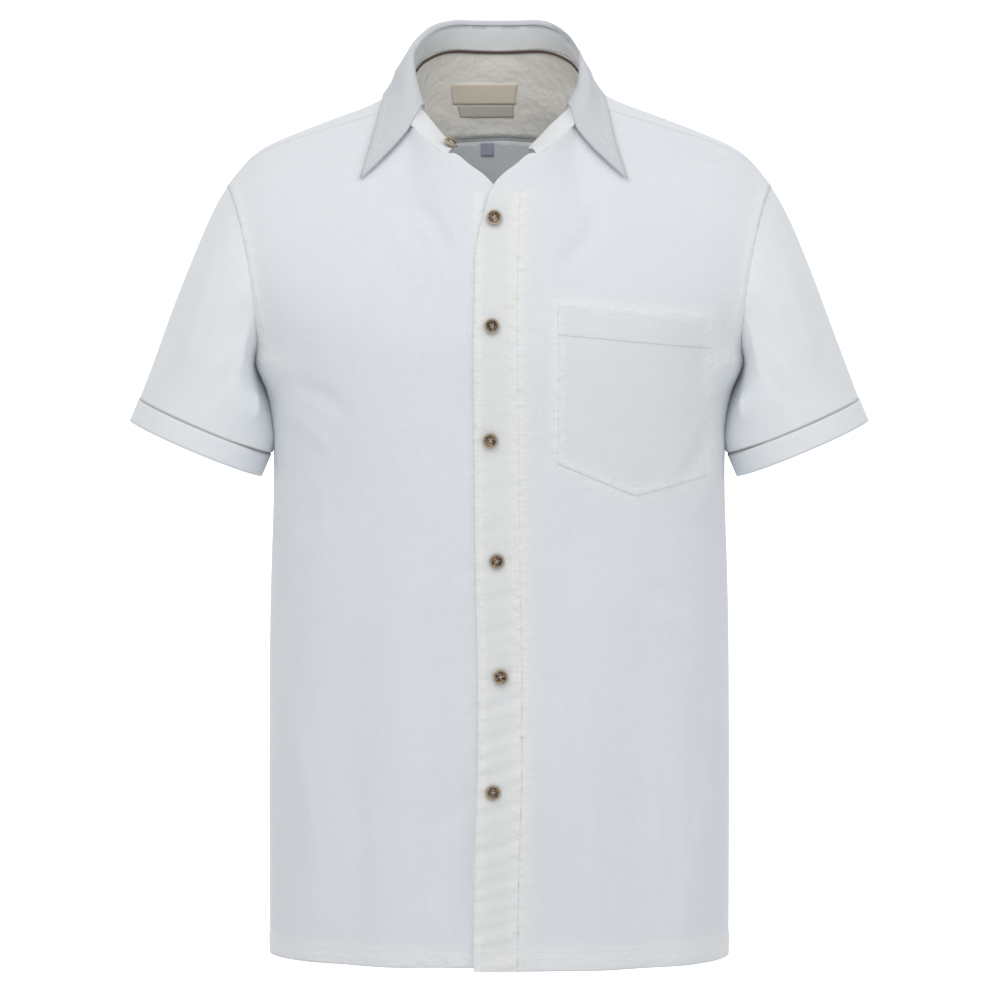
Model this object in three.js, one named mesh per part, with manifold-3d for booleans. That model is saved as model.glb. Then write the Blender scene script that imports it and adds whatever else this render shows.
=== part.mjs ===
// A short-sleeved linen bush shirt, filled out as if worn by a general figure.
// Millimetres, +Z up, the front faces -Y, and +X is the wearer's left.
// The origin is the middle of the neck opening, at the height of the side neck points.
//
// The torso is one form, read by two coordinates: x across, and "travel" up the front, over the
// shoulder and down the back. Travel below 0 is millimetres under the front armpit, 0 to 180 is
// the angle from front armpit over the shoulder ridge (90) to back armpit, and past 180 it is
// millimetres under the back armpit, plus 180. Every body panel is a patch of that form.
import * as THREE from "three";
import { mergeVertices } from "three/addons/utils/BufferGeometryUtils.js";
import Module from "manifold-3d";

// Cloth
const CLOTH = 1.2;
const BAND_CLOTH = 1.9;
const COLLAR_CLOTH = 1.5;
const SEAM_GAP = 0.3;
const LAYER = CLOTH + SEAM_GAP;
const LAYER_GAP = 0.6;
const OVERLAP_LIFT = CLOTH + 0.85;
const HEM_HEIGHT = 13;
const HEM_EXTRA = 0.6;

// Heights and the torso's section
const ARMPIT_Z = -225;
const HEM_Z = -711.5;
const LEFT_HEM_DROP = 2.5;
const RIDGE_Y = 5;
const ROUNDNESS = 2.4;
const SHOULDER_ROUND = 1.18;
const RIDGE = 90;

// Sleeves: the arm hangs this far from vertical, and the cuff is an ellipse across it
const ARM_ANGLE = 22.9;
const PIPING_CENTRE = { x: 241.4, y: 2, z: -279.2 };
const CUFF_HALF_WIDTH = 57.4;
const CUFF_HALF_DEPTH = 59;
const SLEEVE_BAND = 19.2;
const PIPING_RADIUS = 0.9;
const SLEEVE_ROWS = 8;
const ARMHOLE_MIDDLE = { x: 205, y: 2, z: -155 };

// Fastening
const BUTTON_RADIUS = 6.4;
const BUTTON_HEIGHT = 2.8;
const BUTTON_DISH = 0.8;
// Each front button's height, and how far it sits off the middle of the placket
const BUTTON_PLACES = [
  [-106, -2.1],
  [-192.2, -2.7],
  [-283.4, -5],
  [-381, -0.8],
  [-474.7, 0.2],
  [-568.3, -5.4],
];
const BUTTON_GAP = 0.8;
const BUTTON_SIDES = 14;

const table = (names, rows) =>
  rows.map((row) => Object.fromEntries(names.map((name, i) => [name, row[i]])));

// The torso's inside half width and depths, by height
const TORSO = table(
  ["z", "half", "front", "back"],
  [
    [-714, 187.2, 119, 104],
    [-668, 188.2, 120, 102],
    [-540, 188.2, 120, 98],
    [-414, 187.0, 120, 96],
    [-340, 184.1, 121, 97],
    [-300, 183.0, 122, 99],
    [-262, 185.5, 123, 101],
    [-225, 195.2, 124, 104],
    [-205, 207, 123, 106],
    [-184, 221, 121, 107],
    [-157, 234, 119, 108],
    [-124, 243, 116, 108],
    [-90, 249, 112, 106],
    [-50, 252, 108, 102],
    [0, 254, 104, 98],
    [60, 255, 100, 96],
  ],
);

// Height of the shoulder ridge, rising into the neck column inside the neck opening
const SHOULDER = table(
  ["x", "z"],
  [
    [0, 150],
    [30, 112],
    [45, 72],
    [55, 37],
    [62, 13],
    [68, 1],
    [80, -6],
    [115, -19.7],
    [142, -29.5],
    [166, -39.2],
    [190, -49],
    [205, -58.5],
    [213, -67],
    [222, -82],
    [240, -112],
  ],
);

// The armhole: how far out each panel reaches, by travel
const ARMHOLE = table(
  ["travel", "x"],
  [
    [0, 195.2],
    [8, 196.5],
    [20, 200],
    [36, 206],
    [52, 213],
    [68, 218.5],
    [80, 221.5],
    [90, 222.5],
    [104, 221],
    [120, 214],
    [136, 206],
    [156, 200],
    [170, 197],
    [180, 195.2],
  ],
);

// The neck seam, from centre back to the front end of the collar stand
const NECK = table(
  ["part", "x", "travel"],
  [
    [0, 0, 137.8],
    [0.12, 25, 132.7],
    [0.24, 45, 122.7],
    [0.34, 58, 105.4],
    [0.44, 64.5, 94],
    [0.54, 66, 82],
    [0.62, 66.5, 71],
    [0.72, 66.5, 60],
    [0.8, 62, 52.5],
    [0.87, 55, 44.5],
    [0.94, 46, 36.5],
    [1, 37, 31.3],
  ],
);
const NECK_AT_SHOULDER = 0.62;
const LEAF_END = 0.78;

// The free edge of a front, by travel: straight, then rolling open above the top button
const FRONT_EDGE = table(
  ["travel", "x"],
  [
    [0, -17.5],
    [12, -17.5],
    [17, -15.5],
    [19.6, -12],
    [22, -5.5],
    [23.9, 1],
    [26.5, 13],
    [29, 25],
    [31.3, 37],
    [34, 42],
  ],
);

const STRIP_WIDTH = 36;
const STRIP_EDGE = 18.5;

// How far the buttoned front sways off centre on its way down
const SWAY = table(
  ["z", "x"],
  [
    [-714, -3.2],
    [-620, -1.4],
    [-565, 0.6],
    [-470, 0.8],
    [-390, -1],
    [-250, -2.4],
    [-170, -3.2],
    [-100, -1.5],
    [-70, 0],
  ],
);

// The shoulder seam on the front, and the yoke seam across the back
const SHOULDER_SEAM = table(
  ["x", "travel"],
  [
    [66.5, 71],
    [130, 74],
    [180, 77.5],
    [221.5, 80],
  ],
);
const YOKE_SEAM = table(
  ["x", "z"],
  [
    [0, -47],
    [60, -51],
    [120, -65],
    [165, -84],
    [210, -110],
  ],
);

// Collar stand: how its top edge lies from the neck seam
const STAND = table(
  ["part", "inward", "back", "up"],
  [
    [0, 0, -4, 19.5],
    [0.24, 2.5, -3, 18.3],
    [0.44, 4.5, 0, 18],
    [0.54, 5, 3, 18.5],
    [0.62, 6, 8, 18.5],
    [0.72, 8, 15, 16],
    [0.8, 8.3, 20.8, 12.5],
    [0.87, 6.5, 23.5, 9],
    [0.94, 6, 24.5, 7.5],
    [1, 6, 25, 7],
  ],
);

// Collar leaf: its rise over the stand, its stand-off at the neck seam, and its outer edge
const LEAF = table(
  ["part", "roll", "off", "x", "y", "z"],
  [
    [0, 3.2, 8, 0, 86, 6],
    [0.12, 3.2, 8, 31, 83.5, 5],
    [0.24, 3.2, 8.5, 57, 73, 1],
    [0.34, 3.4, 10, 77, 54, -4],
    [0.44, 3.6, 11, 89, 28, -8],
    [0.54, 3.8, 11, 94.5, 2, -7.5],
    [0.62, 3.8, 9, 97, -22, -19],
    [0.7, 3.4, 6, 102, -45, -41],
    [0.78, 2.6, 4.4, 112.5, -66, -75],
  ],
);

// The chest pocket on the wearer's left front, as corners of its outline
const POCKET = { inner: 47.7, outer: 171.2, top: -173.7, slant: 0.1, side: 128.5, point: 149 };
const POCKET_BAND = 25;
const CHEST_BLOCK = 160;

// Drape folds: soft ridges (depth above 0) and troughs, straight from top to bottom ends
const FOLDS = table(
  ["face", "topX", "topZ", "lowX", "lowZ", "width", "depth"],
  [
    [-1, -70, -300, -92, -760, 26, 5],
    [-1, -120, -330, -128, -760, 22, -4],
    [-1, -45, -420, -50, -760, 20, -3.5],
    [-1, 66, -380, 84, -760, 26, 4.5],
    [-1, 112, -340, 122, -760, 20, -4],
    [-1, 150, -420, 152, -760, 18, 3],
    [-1, -150, -200, -100, -330, 16, -2.6],
    [-1, 158, -330, 96, -420, 15, -2.4],
    [1, -96, -180, -104, -760, 30, 8],
    [1, -48, -240, -56, -760, 24, -7],
    [1, 0, -200, -6, -760, 26, 6.5],
    [1, 50, -230, 54, -760, 24, -7.5],
    [1, 98, -190, 108, -760, 28, 8],
    [1, 148, -260, 150, -760, 18, -4.5],
    [1, -148, -270, -148, -760, 18, -4],
  ],
);
const FOLD_EASE = 150;

// Sleeve folds, by share of the way round from the underarm past the front, and down to the cuff
const SLEEVE_FOLDS = table(
  ["around", "down", "wide", "long", "slant", "depth"],
  [
    [0, 0.56, 0.11, 0.42, 0.0, 6.2],
    [1, 0.56, 0.11, 0.42, 0.0, 6.2],
    [0.15, 0.62, 0.07, 0.34, 0.0, 7.5],
    [0.25, 0.34, 0.045, 0.3, 0.1, -4.5],
    [0.34, 0.5, 0.05, 0.34, 0.12, 2.8],
    [0.68, 0.5, 0.05, 0.34, -0.1, 3.5],
    [0.78, 0.4, 0.05, 0.32, -0.1, -5],
    [0.87, 0.6, 0.05, 0.3, 0.0, 4.5],
  ],
);

// Labels inside the neck, on the yoke facing
const LABELS = {
  neck_label: { x: -10, top: 1, width: 50, height: 17 },
  care_label: { x: -9, top: -17, width: 45, height: 9.5 },
};
const SIZE_TAB = { x: -10, top: -48.5, width: 10.5, height: 11 };

const COLOURS = {
  linen: 0xdfe3e6,
  facing: 0xd3cfc8,
  piping: 0x6b6260,
  button: 0x5a4230,
  label: 0xcdbfa8,
  tab: 0xb9b9cc,
};

const radians = THREE.MathUtils.degToRad;
const mix = THREE.MathUtils.lerp;
const vec = (x, y, z) => new THREE.Vector3(x, y, z);
const steps = (count) => Array.from({ length: count + 1 }, (_, i) => i / count);

// Reads one column of a table at a place between its rows, on a smooth curve
function along(rows, by, at, column) {
  const last = rows.length - 1;
  const place = THREE.MathUtils.clamp(at, rows[0][by], rows[last][by]);
  let i = 0;
  while (i < last - 1 && place > rows[i + 1][by]) i += 1;
  const slope = (j) => {
    const before = rows[Math.max(j - 1, 0)];
    const after = rows[Math.min(j + 1, last)];
    return (after[column] - before[column]) / (after[by] - before[by]);
  };
  const span = rows[i + 1][by] - rows[i][by];
  const t = (place - rows[i][by]) / span;
  const rise = rows[i + 1][column] - rows[i][column];
  const ease = t * t * (3 - 2 * t);
  const lead = t * (1 - t) * (1 - t) * span * slope(i);
  const tail = t * t * (1 - t) * span * slope(i + 1);
  return rows[i][column] + rise * ease + lead - tail;
}

// 1 at the middle of a fold, 0 from its width outwards
function bell(distance, width) {
  const share = Math.min(Math.abs(distance) / width, 1);
  return (1 - share * share) ** 2;
}

// How far the drape folds move the cloth of a face outwards
function drape(face, x, z) {
  const half = along(TORSO, "z", z, "half");
  const nearSide = Math.max(0, 1 - (Math.abs(x) / half) ** 6);
  return FOLDS.filter((fold) => fold.face === face && z < fold.topZ).reduce((sum, fold) => {
    const down = (fold.topZ - z) / (fold.topZ - fold.lowZ);
    const centre = mix(fold.topX, fold.lowX, down);
    const fadeIn = THREE.MathUtils.smoothstep(fold.topZ - z, 0, FOLD_EASE);
    const fadeOut = THREE.MathUtils.smoothstep(z - fold.lowZ, 0, HEM_HEIGHT * 2);
    return sum + fold.depth * fadeIn * fadeOut * nearSide * bell(x - centre, fold.width);
  }, 0);
}

// The torso form: the point of the cloth's inside at x and travel
function form(x, travel) {
  const low = travel < 0 ? -travel : Math.max(0, travel - 180);
  const angle = radians(THREE.MathUtils.clamp(travel, 0, 180) - RIDGE);
  const face = travel < RIDGE ? -1 : 1;
  const ridge = along(SHOULDER, "x", Math.abs(x), "z");
  const z = ARMPIT_Z - low + (ridge - ARMPIT_Z) * Math.cos(angle) * (low > 0 ? 0 : 1);
  const half = along(TORSO, "z", z, "half");
  const depth = along(TORSO, "z", z, face < 0 ? "front" : "back");
  const across = Math.min(Math.abs(x) / half, 1);
  const round = (1 - across ** ROUNDNESS) ** (1 / ROUNDNESS);
  const rise = low > 0 ? 1 : Math.abs(Math.sin(angle)) ** SHOULDER_ROUND;
  return vec(x, RIDGE_Y + face * (depth * round * rise + drape(face, x, z)), z);
}

// The form's outward direction, from two short steps on it
function outward(x, travel) {
  const stepX = x > 0 ? -0.4 : 0.4;
  const stepUp = travel < RIDGE ? 0.4 : -0.4;
  const here = form(x, travel);
  const side = form(x + stepX, travel).sub(here);
  const up = form(x, travel + stepUp).sub(here);
  const normal = side.cross(up).normalize();
  const away = vec(here.x, here.y - RIDGE_Y, 60);
  return normal.dot(away) < 0 ? normal.negate() : normal;
}

// The travel at which the back or front stands at a height
function travelAt(face, x, z) {
  if (z < ARMPIT_Z) return face < 0 ? z - ARMPIT_Z : 180 + ARMPIT_Z - z;
  const ridge = along(SHOULDER, "x", Math.abs(x), "z");
  const share = THREE.MathUtils.clamp((z - ARMPIT_Z) / (ridge - ARMPIT_Z), 0, 1);
  return RIDGE + face * THREE.MathUtils.radToDeg(Math.acos(share));
}

// A closed wall between a grid of inside points and the same points moved by their thickness
function wall(inside, thickness, closed = false) {
  const rows = inside.length;
  const cols = inside[0].length;
  const outside = inside.map((row, i) => row.map((p, j) => p.clone().add(thickness[i][j])));
  const points = [...inside.flat(), ...outside.flat()];
  const id = (layer, i, j) => layer * rows * cols + i * cols + (j % cols);
  const faces = [];
  const quad = (a, b, c, d) => faces.push(a, b, c, a, c, d);
  const spans = closed ? cols : cols - 1;
  for (let i = 0; i < rows - 1; i += 1) {
    for (let j = 0; j < spans; j += 1) {
      quad(id(0, i, j), id(0, i, j + 1), id(0, i + 1, j + 1), id(0, i + 1, j));
      quad(id(1, i, j), id(1, i + 1, j), id(1, i + 1, j + 1), id(1, i, j + 1));
    }
    if (!closed) {
      quad(id(0, i, 0), id(0, i + 1, 0), id(1, i + 1, 0), id(1, i, 0));
      quad(id(0, i + 1, cols - 1), id(0, i, cols - 1), id(1, i, cols - 1), id(1, i + 1, cols - 1));
    }
  }
  for (let j = 0; j < spans; j += 1) {
    quad(id(0, 0, j + 1), id(0, 0, j), id(1, 0, j), id(1, 0, j + 1));
    quad(id(0, rows - 1, j), id(0, rows - 1, j + 1), id(1, rows - 1, j + 1), id(1, rows - 1, j));
  }
  return facingOut(points, faces);
}

// A geometry from points and faces, turned so that its volume is positive
function facingOut(points, faces) {
  let volume = 0;
  for (let k = 0; k < faces.length; k += 3) {
    const [a, b, c] = [points[faces[k]], points[faces[k + 1]], points[faces[k + 2]]];
    volume += a.dot(b.clone().cross(c));
  }
  const ordered = volume < 0 ? faces.map((_, k) => faces[k - (k % 3) + 2 - (k % 3)]) : faces;
  const geometry = new THREE.BufferGeometry().setFromPoints(points);
  geometry.setIndex(ordered);
  geometry.computeVertexNormals();
  return geometry;
}

// Draws the border of a grid back from its seams, by half the seam gap
function drawnIn(grid, { first = true, last = true, start = true, end = true } = {}) {
  const shift = (from, to) => from.add(to.clone().sub(from).setLength(SEAM_GAP / 2));
  const rows = grid.length - 1;
  const cols = grid[0].length - 1;
  if (start) grid.forEach((row) => shift(row[0], row[1]));
  if (end) grid.forEach((row) => shift(row[cols], row[cols - 1]));
  if (first) grid[0].forEach((p, j) => shift(p, grid[1][j]));
  if (last) grid[rows].forEach((p, j) => shift(p, grid[rows - 1][j]));
  return grid;
}

const group = new THREE.Group();

function add(name, geometry, colour, roughness = 0.9) {
  const material = new THREE.MeshStandardMaterial({ color: colour, roughness, metalness: 0 });
  const mesh = new THREE.Mesh(geometry, material);
  mesh.name = name;
  group.add(mesh);
  return mesh;
}

const mirrored = (p, side) => vec(p.x * side, p.y, p.z);

// The armhole on the wearer's left, and how the sleeve leaves it
const armPoint = (travel) => form(along(ARMHOLE, "travel", travel, "x"), travel);
const armDirection = vec(Math.sin(radians(ARM_ANGLE)), 0, -Math.cos(radians(ARM_ANGLE)));
const acrossArm = vec(Math.cos(radians(ARM_ANGLE)), 0, Math.sin(radians(ARM_ANGLE)));

// Leaving angle off the arm's line: outwards over the cap, away from the body underneath
const SLEEVE_START = table(
  ["around", "lean", "reach"],
  [
    [0, -72, 84],
    [0.07, -50, 80],
    [0.16, -10, 80],
    [0.27, 20, 95],
    [0.5, 12, 120],
    [0.73, 22, 95],
    [0.84, -8, 80],
    [0.93, -50, 80],
    [1, -72, 84],
  ],
);

// Travels of the panels' rows at the armhole: up the front, over the yoke, down the back
const FRONT_UPPER = 9;
const YOKE_ROWS = 5;
const BACK_UPPER = 8;
const SHOULDER_TRAVEL = 80;
const YOKE_SHOULDER_COLS = 8;
const YOKE_REACH = 206;
const ROW_CROWDING = 1.5;
const backSeamTravel = travelAt(1, YOKE_REACH, along(YOKE_SEAM, "x", YOKE_REACH, "z"));
const armholeTravels = [
  ...steps(FRONT_UPPER).map((t) => SHOULDER_TRAVEL * t ** ROW_CROWDING),
  ...steps(YOKE_ROWS).slice(1).map((t) => mix(SHOULDER_TRAVEL, backSeamTravel, t)),
  ...steps(BACK_UPPER).slice(1).map((t) => mix(180, backSeamTravel, (1 - t) ** ROW_CROWDING)),
];

// Share of the armhole's length at each of those travels
const armholeShare = (() => {
  const points = armholeTravels.map(armPoint);
  const lengths = points.map((p, i) => (i ? p.distanceTo(points[i - 1]) : 0));
  const total = lengths.reduce((a, b) => a + b, 0);
  let run = 0;
  return lengths.map((d) => (run += d) / total);
})();

const LEAST_MITRE = 0.6;
const TRAVEL_STEP = 0.5;

// Where a sleeve's lengthwise thread starts, its direction, and the mitre that it shares with the body
function sleeveStart(index) {
  const travel = armholeTravels[index];
  const share = armholeShare[index];
  const point = armPoint(travel);
  const lean = radians(along(SLEEVE_START, "around", share, "lean"));
  const radial = point.clone().sub(vec(ARMHOLE_MIDDLE.x, ARMHOLE_MIDDLE.y, ARMHOLE_MIDDLE.z));
  radial.addScaledVector(armDirection, -radial.dot(armDirection)).normalize();
  const leaving = armDirection.clone().multiplyScalar(Math.cos(lean));
  leaving.addScaledVector(radial, Math.sin(lean));
  const before = armPoint(Math.max(travel - TRAVEL_STEP, 0));
  const ring = armPoint(Math.min(travel + TRAVEL_STEP, 180)).sub(before);
  const sleeveNormal = leaving.clone().cross(ring).normalize();
  const travelInside = THREE.MathUtils.clamp(travel, 1, 179);
  const bodyNormal = outward(along(ARMHOLE, "travel", travelInside, "x"), travelInside);
  const mitre = bodyNormal.clone().add(sleeveNormal);
  mitre.multiplyScalar(CLOTH / Math.max(LEAST_MITRE, 1 + bodyNormal.dot(sleeveNormal)));
  return { point, leaving, mitre, share };
}

const armholeRing = armholeTravels.map((_, index) => sleeveStart(index));

// Body panels share their armhole edges with the sleeves through these thicknesses
const mitreAt = (travel) => armholeRing[armholeTravels.findIndex((t) => Math.abs(t - travel) < 1e-6)].mitre;

// The rolled edge climbs this far from the armpit to the ridge
const EDGE_RISE = 375;

// The left front lies over the right one up to here, in x and in travel
const OVERLAP_FADE_X = [28, 62];
const OVERLAP_FADE_TRAVEL = [25.5, 31];
const UNDER_EDGE_X = 22;

// The shoulder seam's ends
const SEAM_NECK_X = 66.5;
const SEAM_ARM_X = 221.5;

const FRONT_LOWER = 9;
const ROLL_TRAVELS = [15, 19.6, 22.8, 26.5];
const ROLL_COLS = ROLL_TRAVELS.length;
const FRONT_NECK_PARTS = [1, 0.93, 0.86, LEAF_END, 0.7, NECK_AT_SHOULDER];
const NECK_COLS = FRONT_NECK_PARTS.length - 1;
const FRONT_COLS = ROLL_COLS + NECK_COLS + YOKE_SHOULDER_COLS;
const frontLevels = [0, ...steps(FRONT_LOWER).map((t) => mix(HEM_HEIGHT, ARMPIT_Z - HEM_Z, t))];

const sway = (z) => along(SWAY, "z", z, "x");

// The edge of a front in its own half: below 0 reaches past the middle, under or over the other
function frontEdge(travel, side) {
  const z = travel < 0 ? ARMPIT_Z + travel : ARMPIT_Z + EDGE_RISE * Math.sin(radians(travel));
  return along(FRONT_EDGE, "travel", travel, "x") + side * sway(z);
}

function overlapLift(x, travel, side) {
  if (side < 0) return 0;
  const out = 1 - THREE.MathUtils.smoothstep(x, ...OVERLAP_FADE_X);
  return OVERLAP_LIFT * out * (1 - THREE.MathUtils.smoothstep(travel, ...OVERLAP_FADE_TRAVEL));
}

// Where a column of a front stands below the armpit, in its own half
function lowerX(column, travel, side) {
  const half = along(TORSO, "z", ARMPIT_Z + travel, "half");
  const edge = frontEdge(travel, side);
  if (column <= ROLL_COLS) return edge + (STRIP_WIDTH * column) / ROLL_COLS;
  const from = Math.asin((edge + STRIP_WIDTH) / half);
  return half * Math.sin(mix(from, Math.PI / 2, (column - ROLL_COLS) / (FRONT_COLS - ROLL_COLS)));
}

// Where a front's column ends: on the rolled edge, then the neck seam, then the shoulder seam
function frontTop(column, side) {
  if (column < ROLL_COLS) {
    const travel = ROLL_TRAVELS[column];
    return { x: frontEdge(travel, side), travel };
  }
  if (column <= ROLL_COLS + NECK_COLS) {
    const part = FRONT_NECK_PARTS[column - ROLL_COLS];
    return { x: along(NECK, "part", part, "x"), travel: along(NECK, "part", part, "travel") };
  }
  const x = mix(SEAM_NECK_X, SEAM_ARM_X, (column - ROLL_COLS - NECK_COLS) / YOKE_SHOULDER_COLS);
  return { x, travel: along(SHOULDER_SEAM, "x", x, "travel") };
}

// A place on a front's column, from the armpit's height (0) to its top (1)
function upperPlace(column, t, side) {
  const top = frontTop(column, side);
  const travel = top.travel * mix(t ** ROW_CROWDING, t, Math.sqrt(1 - column / FRONT_COLS));
  if (column === FRONT_COLS) return { x: along(ARMHOLE, "travel", travel, "x"), travel };
  const topZ = form(side * top.x, top.travel).z;
  const rise = Math.sin(radians(travel)) / Math.sin(radians(top.travel));
  const x = mix(lowerX(column, 0, side), top.x, THREE.MathUtils.smoothstep(t, 0, 1));
  return { x, travel: travelAt(-1, x, mix(ARMPIT_Z, topZ, rise)) };
}

// One front, drawn for its own side; side is 1 for the wearer's left
function frontPanel(side) {
  const hem = HEM_Z - (side > 0 ? LEFT_HEM_DROP : 0);
  const columns = Array.from({ length: FRONT_COLS + 1 }, (_, i) => i);
  const cell = (x, travel, extra) => {
    const own = side * x;
    const normal = outward(own, travel);
    const point = form(own, travel).addScaledVector(normal, overlapLift(x, travel, side));
    return { point, normal, thick: normal.clone().multiplyScalar(CLOTH + extra) };
  };
  const lower = frontLevels.map((low, row) => {
    const travel = mix(hem - ARMPIT_Z, 0, low / (ARMPIT_Z - HEM_Z));
    return columns.map((column) => {
      const x = lowerX(column, travel, side);
      return cell(x, travel, row < 2 && (side > 0 || x > UNDER_EDGE_X) ? HEM_EXTRA : 0);
    });
  });
  const upper = steps(FRONT_UPPER).slice(1).map((t) =>
    columns.map((column) => {
      const { x, travel } = upperPlace(column, t, side);
      const made = cell(x, travel, 0);
      if (column === FRONT_COLS) made.thick = mirrored(mitreAt(travel), side);
      return made;
    }),
  );
  lower[lower.length - 1][FRONT_COLS].thick = mirrored(mitreAt(0), side);
  const cells = [...lower, ...upper];
  const inside = drawnIn(cells.map((row) => row.map(({ point }) => point)), { first: false, start: false });
  return { inside, thick: cells.map((row) => row.map(({ thick }) => thick)) };
}

// A layer that lies on a panel: the panel's outer points moved out by the gap
function layerOver({ inside, thick }, thickness) {
  const moved = (p, t, by) => p.clone().add(t).add(t.clone().setLength(by));
  return {
    inside: inside.map((row, i) => row.map((p, j) => moved(p, thick[i][j], LAYER_GAP))),
    thick: thick.map((row) => row.map((t) => t.clone().setLength(thickness))),
  };
}

const BACK_LOWER = 9;
const YOKE_NECK_COLS = 7;
const YOKE_COLS = YOKE_NECK_COLS + YOKE_SHOULDER_COLS;
const YOKE_FOOT = 100;

const seamTravel = (x) => travelAt(1, x, along(YOKE_SEAM, "x", Math.abs(x), "z"));

// The x at which a column of the yoke stands on the back seam
function seamFoot(k) {
  if (k <= YOKE_NECK_COLS) return (k / YOKE_NECK_COLS) * YOKE_FOOT;
  return mix(YOKE_FOOT, YOKE_REACH, (k - YOKE_NECK_COLS) / YOKE_SHOULDER_COLS);
}

const bodyColumns = Array.from({ length: 2 * YOKE_COLS + 1 }, (_, i) => i - YOKE_COLS);
const footTravel = (k) => (k === YOKE_COLS ? backSeamTravel : seamTravel(seamFoot(k)));

function backPanel() {
  const reach = (travel) => along(ARMHOLE, "travel", travel, "x");
  const lowShare = (step) => Math.sin((Math.PI / 2) * (step / YOKE_COLS));
  const cell = (x, travel, extra) => {
    return { point: form(x, travel), thick: outward(x, travel).multiplyScalar(CLOTH + extra) };
  };
  const levels = [0, ...steps(BACK_LOWER).map((t) => mix(HEM_HEIGHT, ARMPIT_Z - HEM_Z, t))];
  const lower = levels.map((low, row) => {
    const half = along(TORSO, "z", HEM_Z + low, "half");
    const travel = 180 + ARMPIT_Z - HEM_Z - low;
    return bodyColumns.map((step) => cell(half * lowShare(step), travel, row < 2 ? HEM_EXTRA : 0));
  });
  const upper = steps(BACK_UPPER).slice(1).map((t) =>
    bodyColumns.map((step) => {
      const k = Math.abs(step);
      const travel = mix(180, footTravel(k), t ** ROW_CROWDING);
      const topShare = (Math.sign(step) * seamFoot(k)) / reach(footTravel(k));
      const share = k === YOKE_COLS ? Math.sign(step) : mix(lowShare(step), topShare, t);
      return cell(share * reach(travel), travel, 0);
    }),
  );
  const cells = [...lower, ...upper];
  const travels = steps(BACK_UPPER).map((t) => mix(180, backSeamTravel, t ** ROW_CROWDING));
  travels.forEach((travel, k) => {
    const row = cells[lower.length - 1 + k];
    row[0].thick = mirrored(mitreAt(travel), -1);
    row[2 * YOKE_COLS].thick = mitreAt(travel).clone();
  });
  const inside = drawnIn(cells.map((row) => row.map(({ point }) => point)), { first: false });
  return wall(inside, cells.map((row) => row.map(({ thick }) => thick)));
}

// One column of the yoke, from the back seam to the neck or the shoulder seam
function yokeEnds(step) {
  const side = Math.sign(step) || 1;
  const k = Math.abs(step);
  if (k <= YOKE_NECK_COLS) {
    const part = (k / YOKE_NECK_COLS) * NECK_AT_SHOULDER;
    return { side, k, x: along(NECK, "part", part, "x"), travel: along(NECK, "part", part, "travel") };
  }
  const x = mix(SEAM_NECK_X, SEAM_ARM_X, (k - YOKE_NECK_COLS) / YOKE_SHOULDER_COLS);
  return { side, k, x, travel: along(SHOULDER_SEAM, "x", x, "travel") };
}

function yokeGrid(lift, rise) {
  const reach = (travel) => along(ARMHOLE, "travel", travel, "x");
  const inside = [];
  const thick = [];
  steps(YOKE_ROWS).forEach((t, row) => {
    const cells = bodyColumns.map((step) => {
      const { side, k, x, travel } = yokeEnds(step);
      const from = footTravel(k) - rise;
      const at = mix(from, travel, t);
      const foot = k === YOKE_COLS ? 1 : seamFoot(k) / reach(from);
      return { x: side * mix(foot, x / reach(travel), t) * reach(at), travel: at };
    });
    inside[row] = cells.map(({ x, travel }) => form(x, travel).addScaledVector(outward(x, travel), lift));
    thick[row] = cells.map(({ x, travel }) => outward(x, travel).multiplyScalar(CLOTH));
  });
  return { inside, thick };
}

function yoke() {
  const { inside, thick } = yokeGrid(0, 0);
  steps(YOKE_ROWS).forEach((t, row) => {
    const travel = mix(backSeamTravel, SHOULDER_TRAVEL, t);
    thick[row][0] = mirrored(mitreAt(travel), -1);
    thick[row][2 * YOKE_COLS] = mitreAt(travel).clone();
  });
  return wall(drawnIn(inside), thick);
}

const FACING_RISE = 0.7;

// The yoke's own lining, which shows through the neck opening
function yokeFacing() {
  const { inside, thick } = yokeGrid(-LAYER - SEAM_GAP / 2, FACING_RISE);
  const trimmed = (rows) => rows.map((row) => row.slice(1, -1));
  return wall(drawnIn(trimmed(inside)), trimmed(thick));
}

// One sleeve: from the armhole ring to the piping above its band
function cuffPoint(share, down) {
  const angle = 2 * Math.PI * share;
  return vec(PIPING_CENTRE.x, PIPING_CENTRE.y, PIPING_CENTRE.z)
    .addScaledVector(acrossArm, -CUFF_HALF_WIDTH * Math.cos(angle))
    .add(vec(0, -CUFF_HALF_DEPTH * Math.sin(angle), 0))
    .addScaledVector(armDirection, down);
}

function cuffOutward(share) {
  const angle = 2 * Math.PI * share;
  return acrossArm
    .clone()
    .multiplyScalar(-Math.cos(angle) * CUFF_HALF_DEPTH)
    .add(vec(0, -Math.sin(angle) * CUFF_HALF_WIDTH, 0))
    .normalize();
}

function sleeveFold(share, down) {
  return SLEEVE_FOLDS.reduce((sum, fold) => {
    const centre = fold.around + fold.slant * (down - fold.down);
    return sum + fold.depth * bell(share - centre, fold.wide) * bell(down - fold.down, fold.long);
  }, 0);
}

const CUFF_PULL = 0.6;

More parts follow.
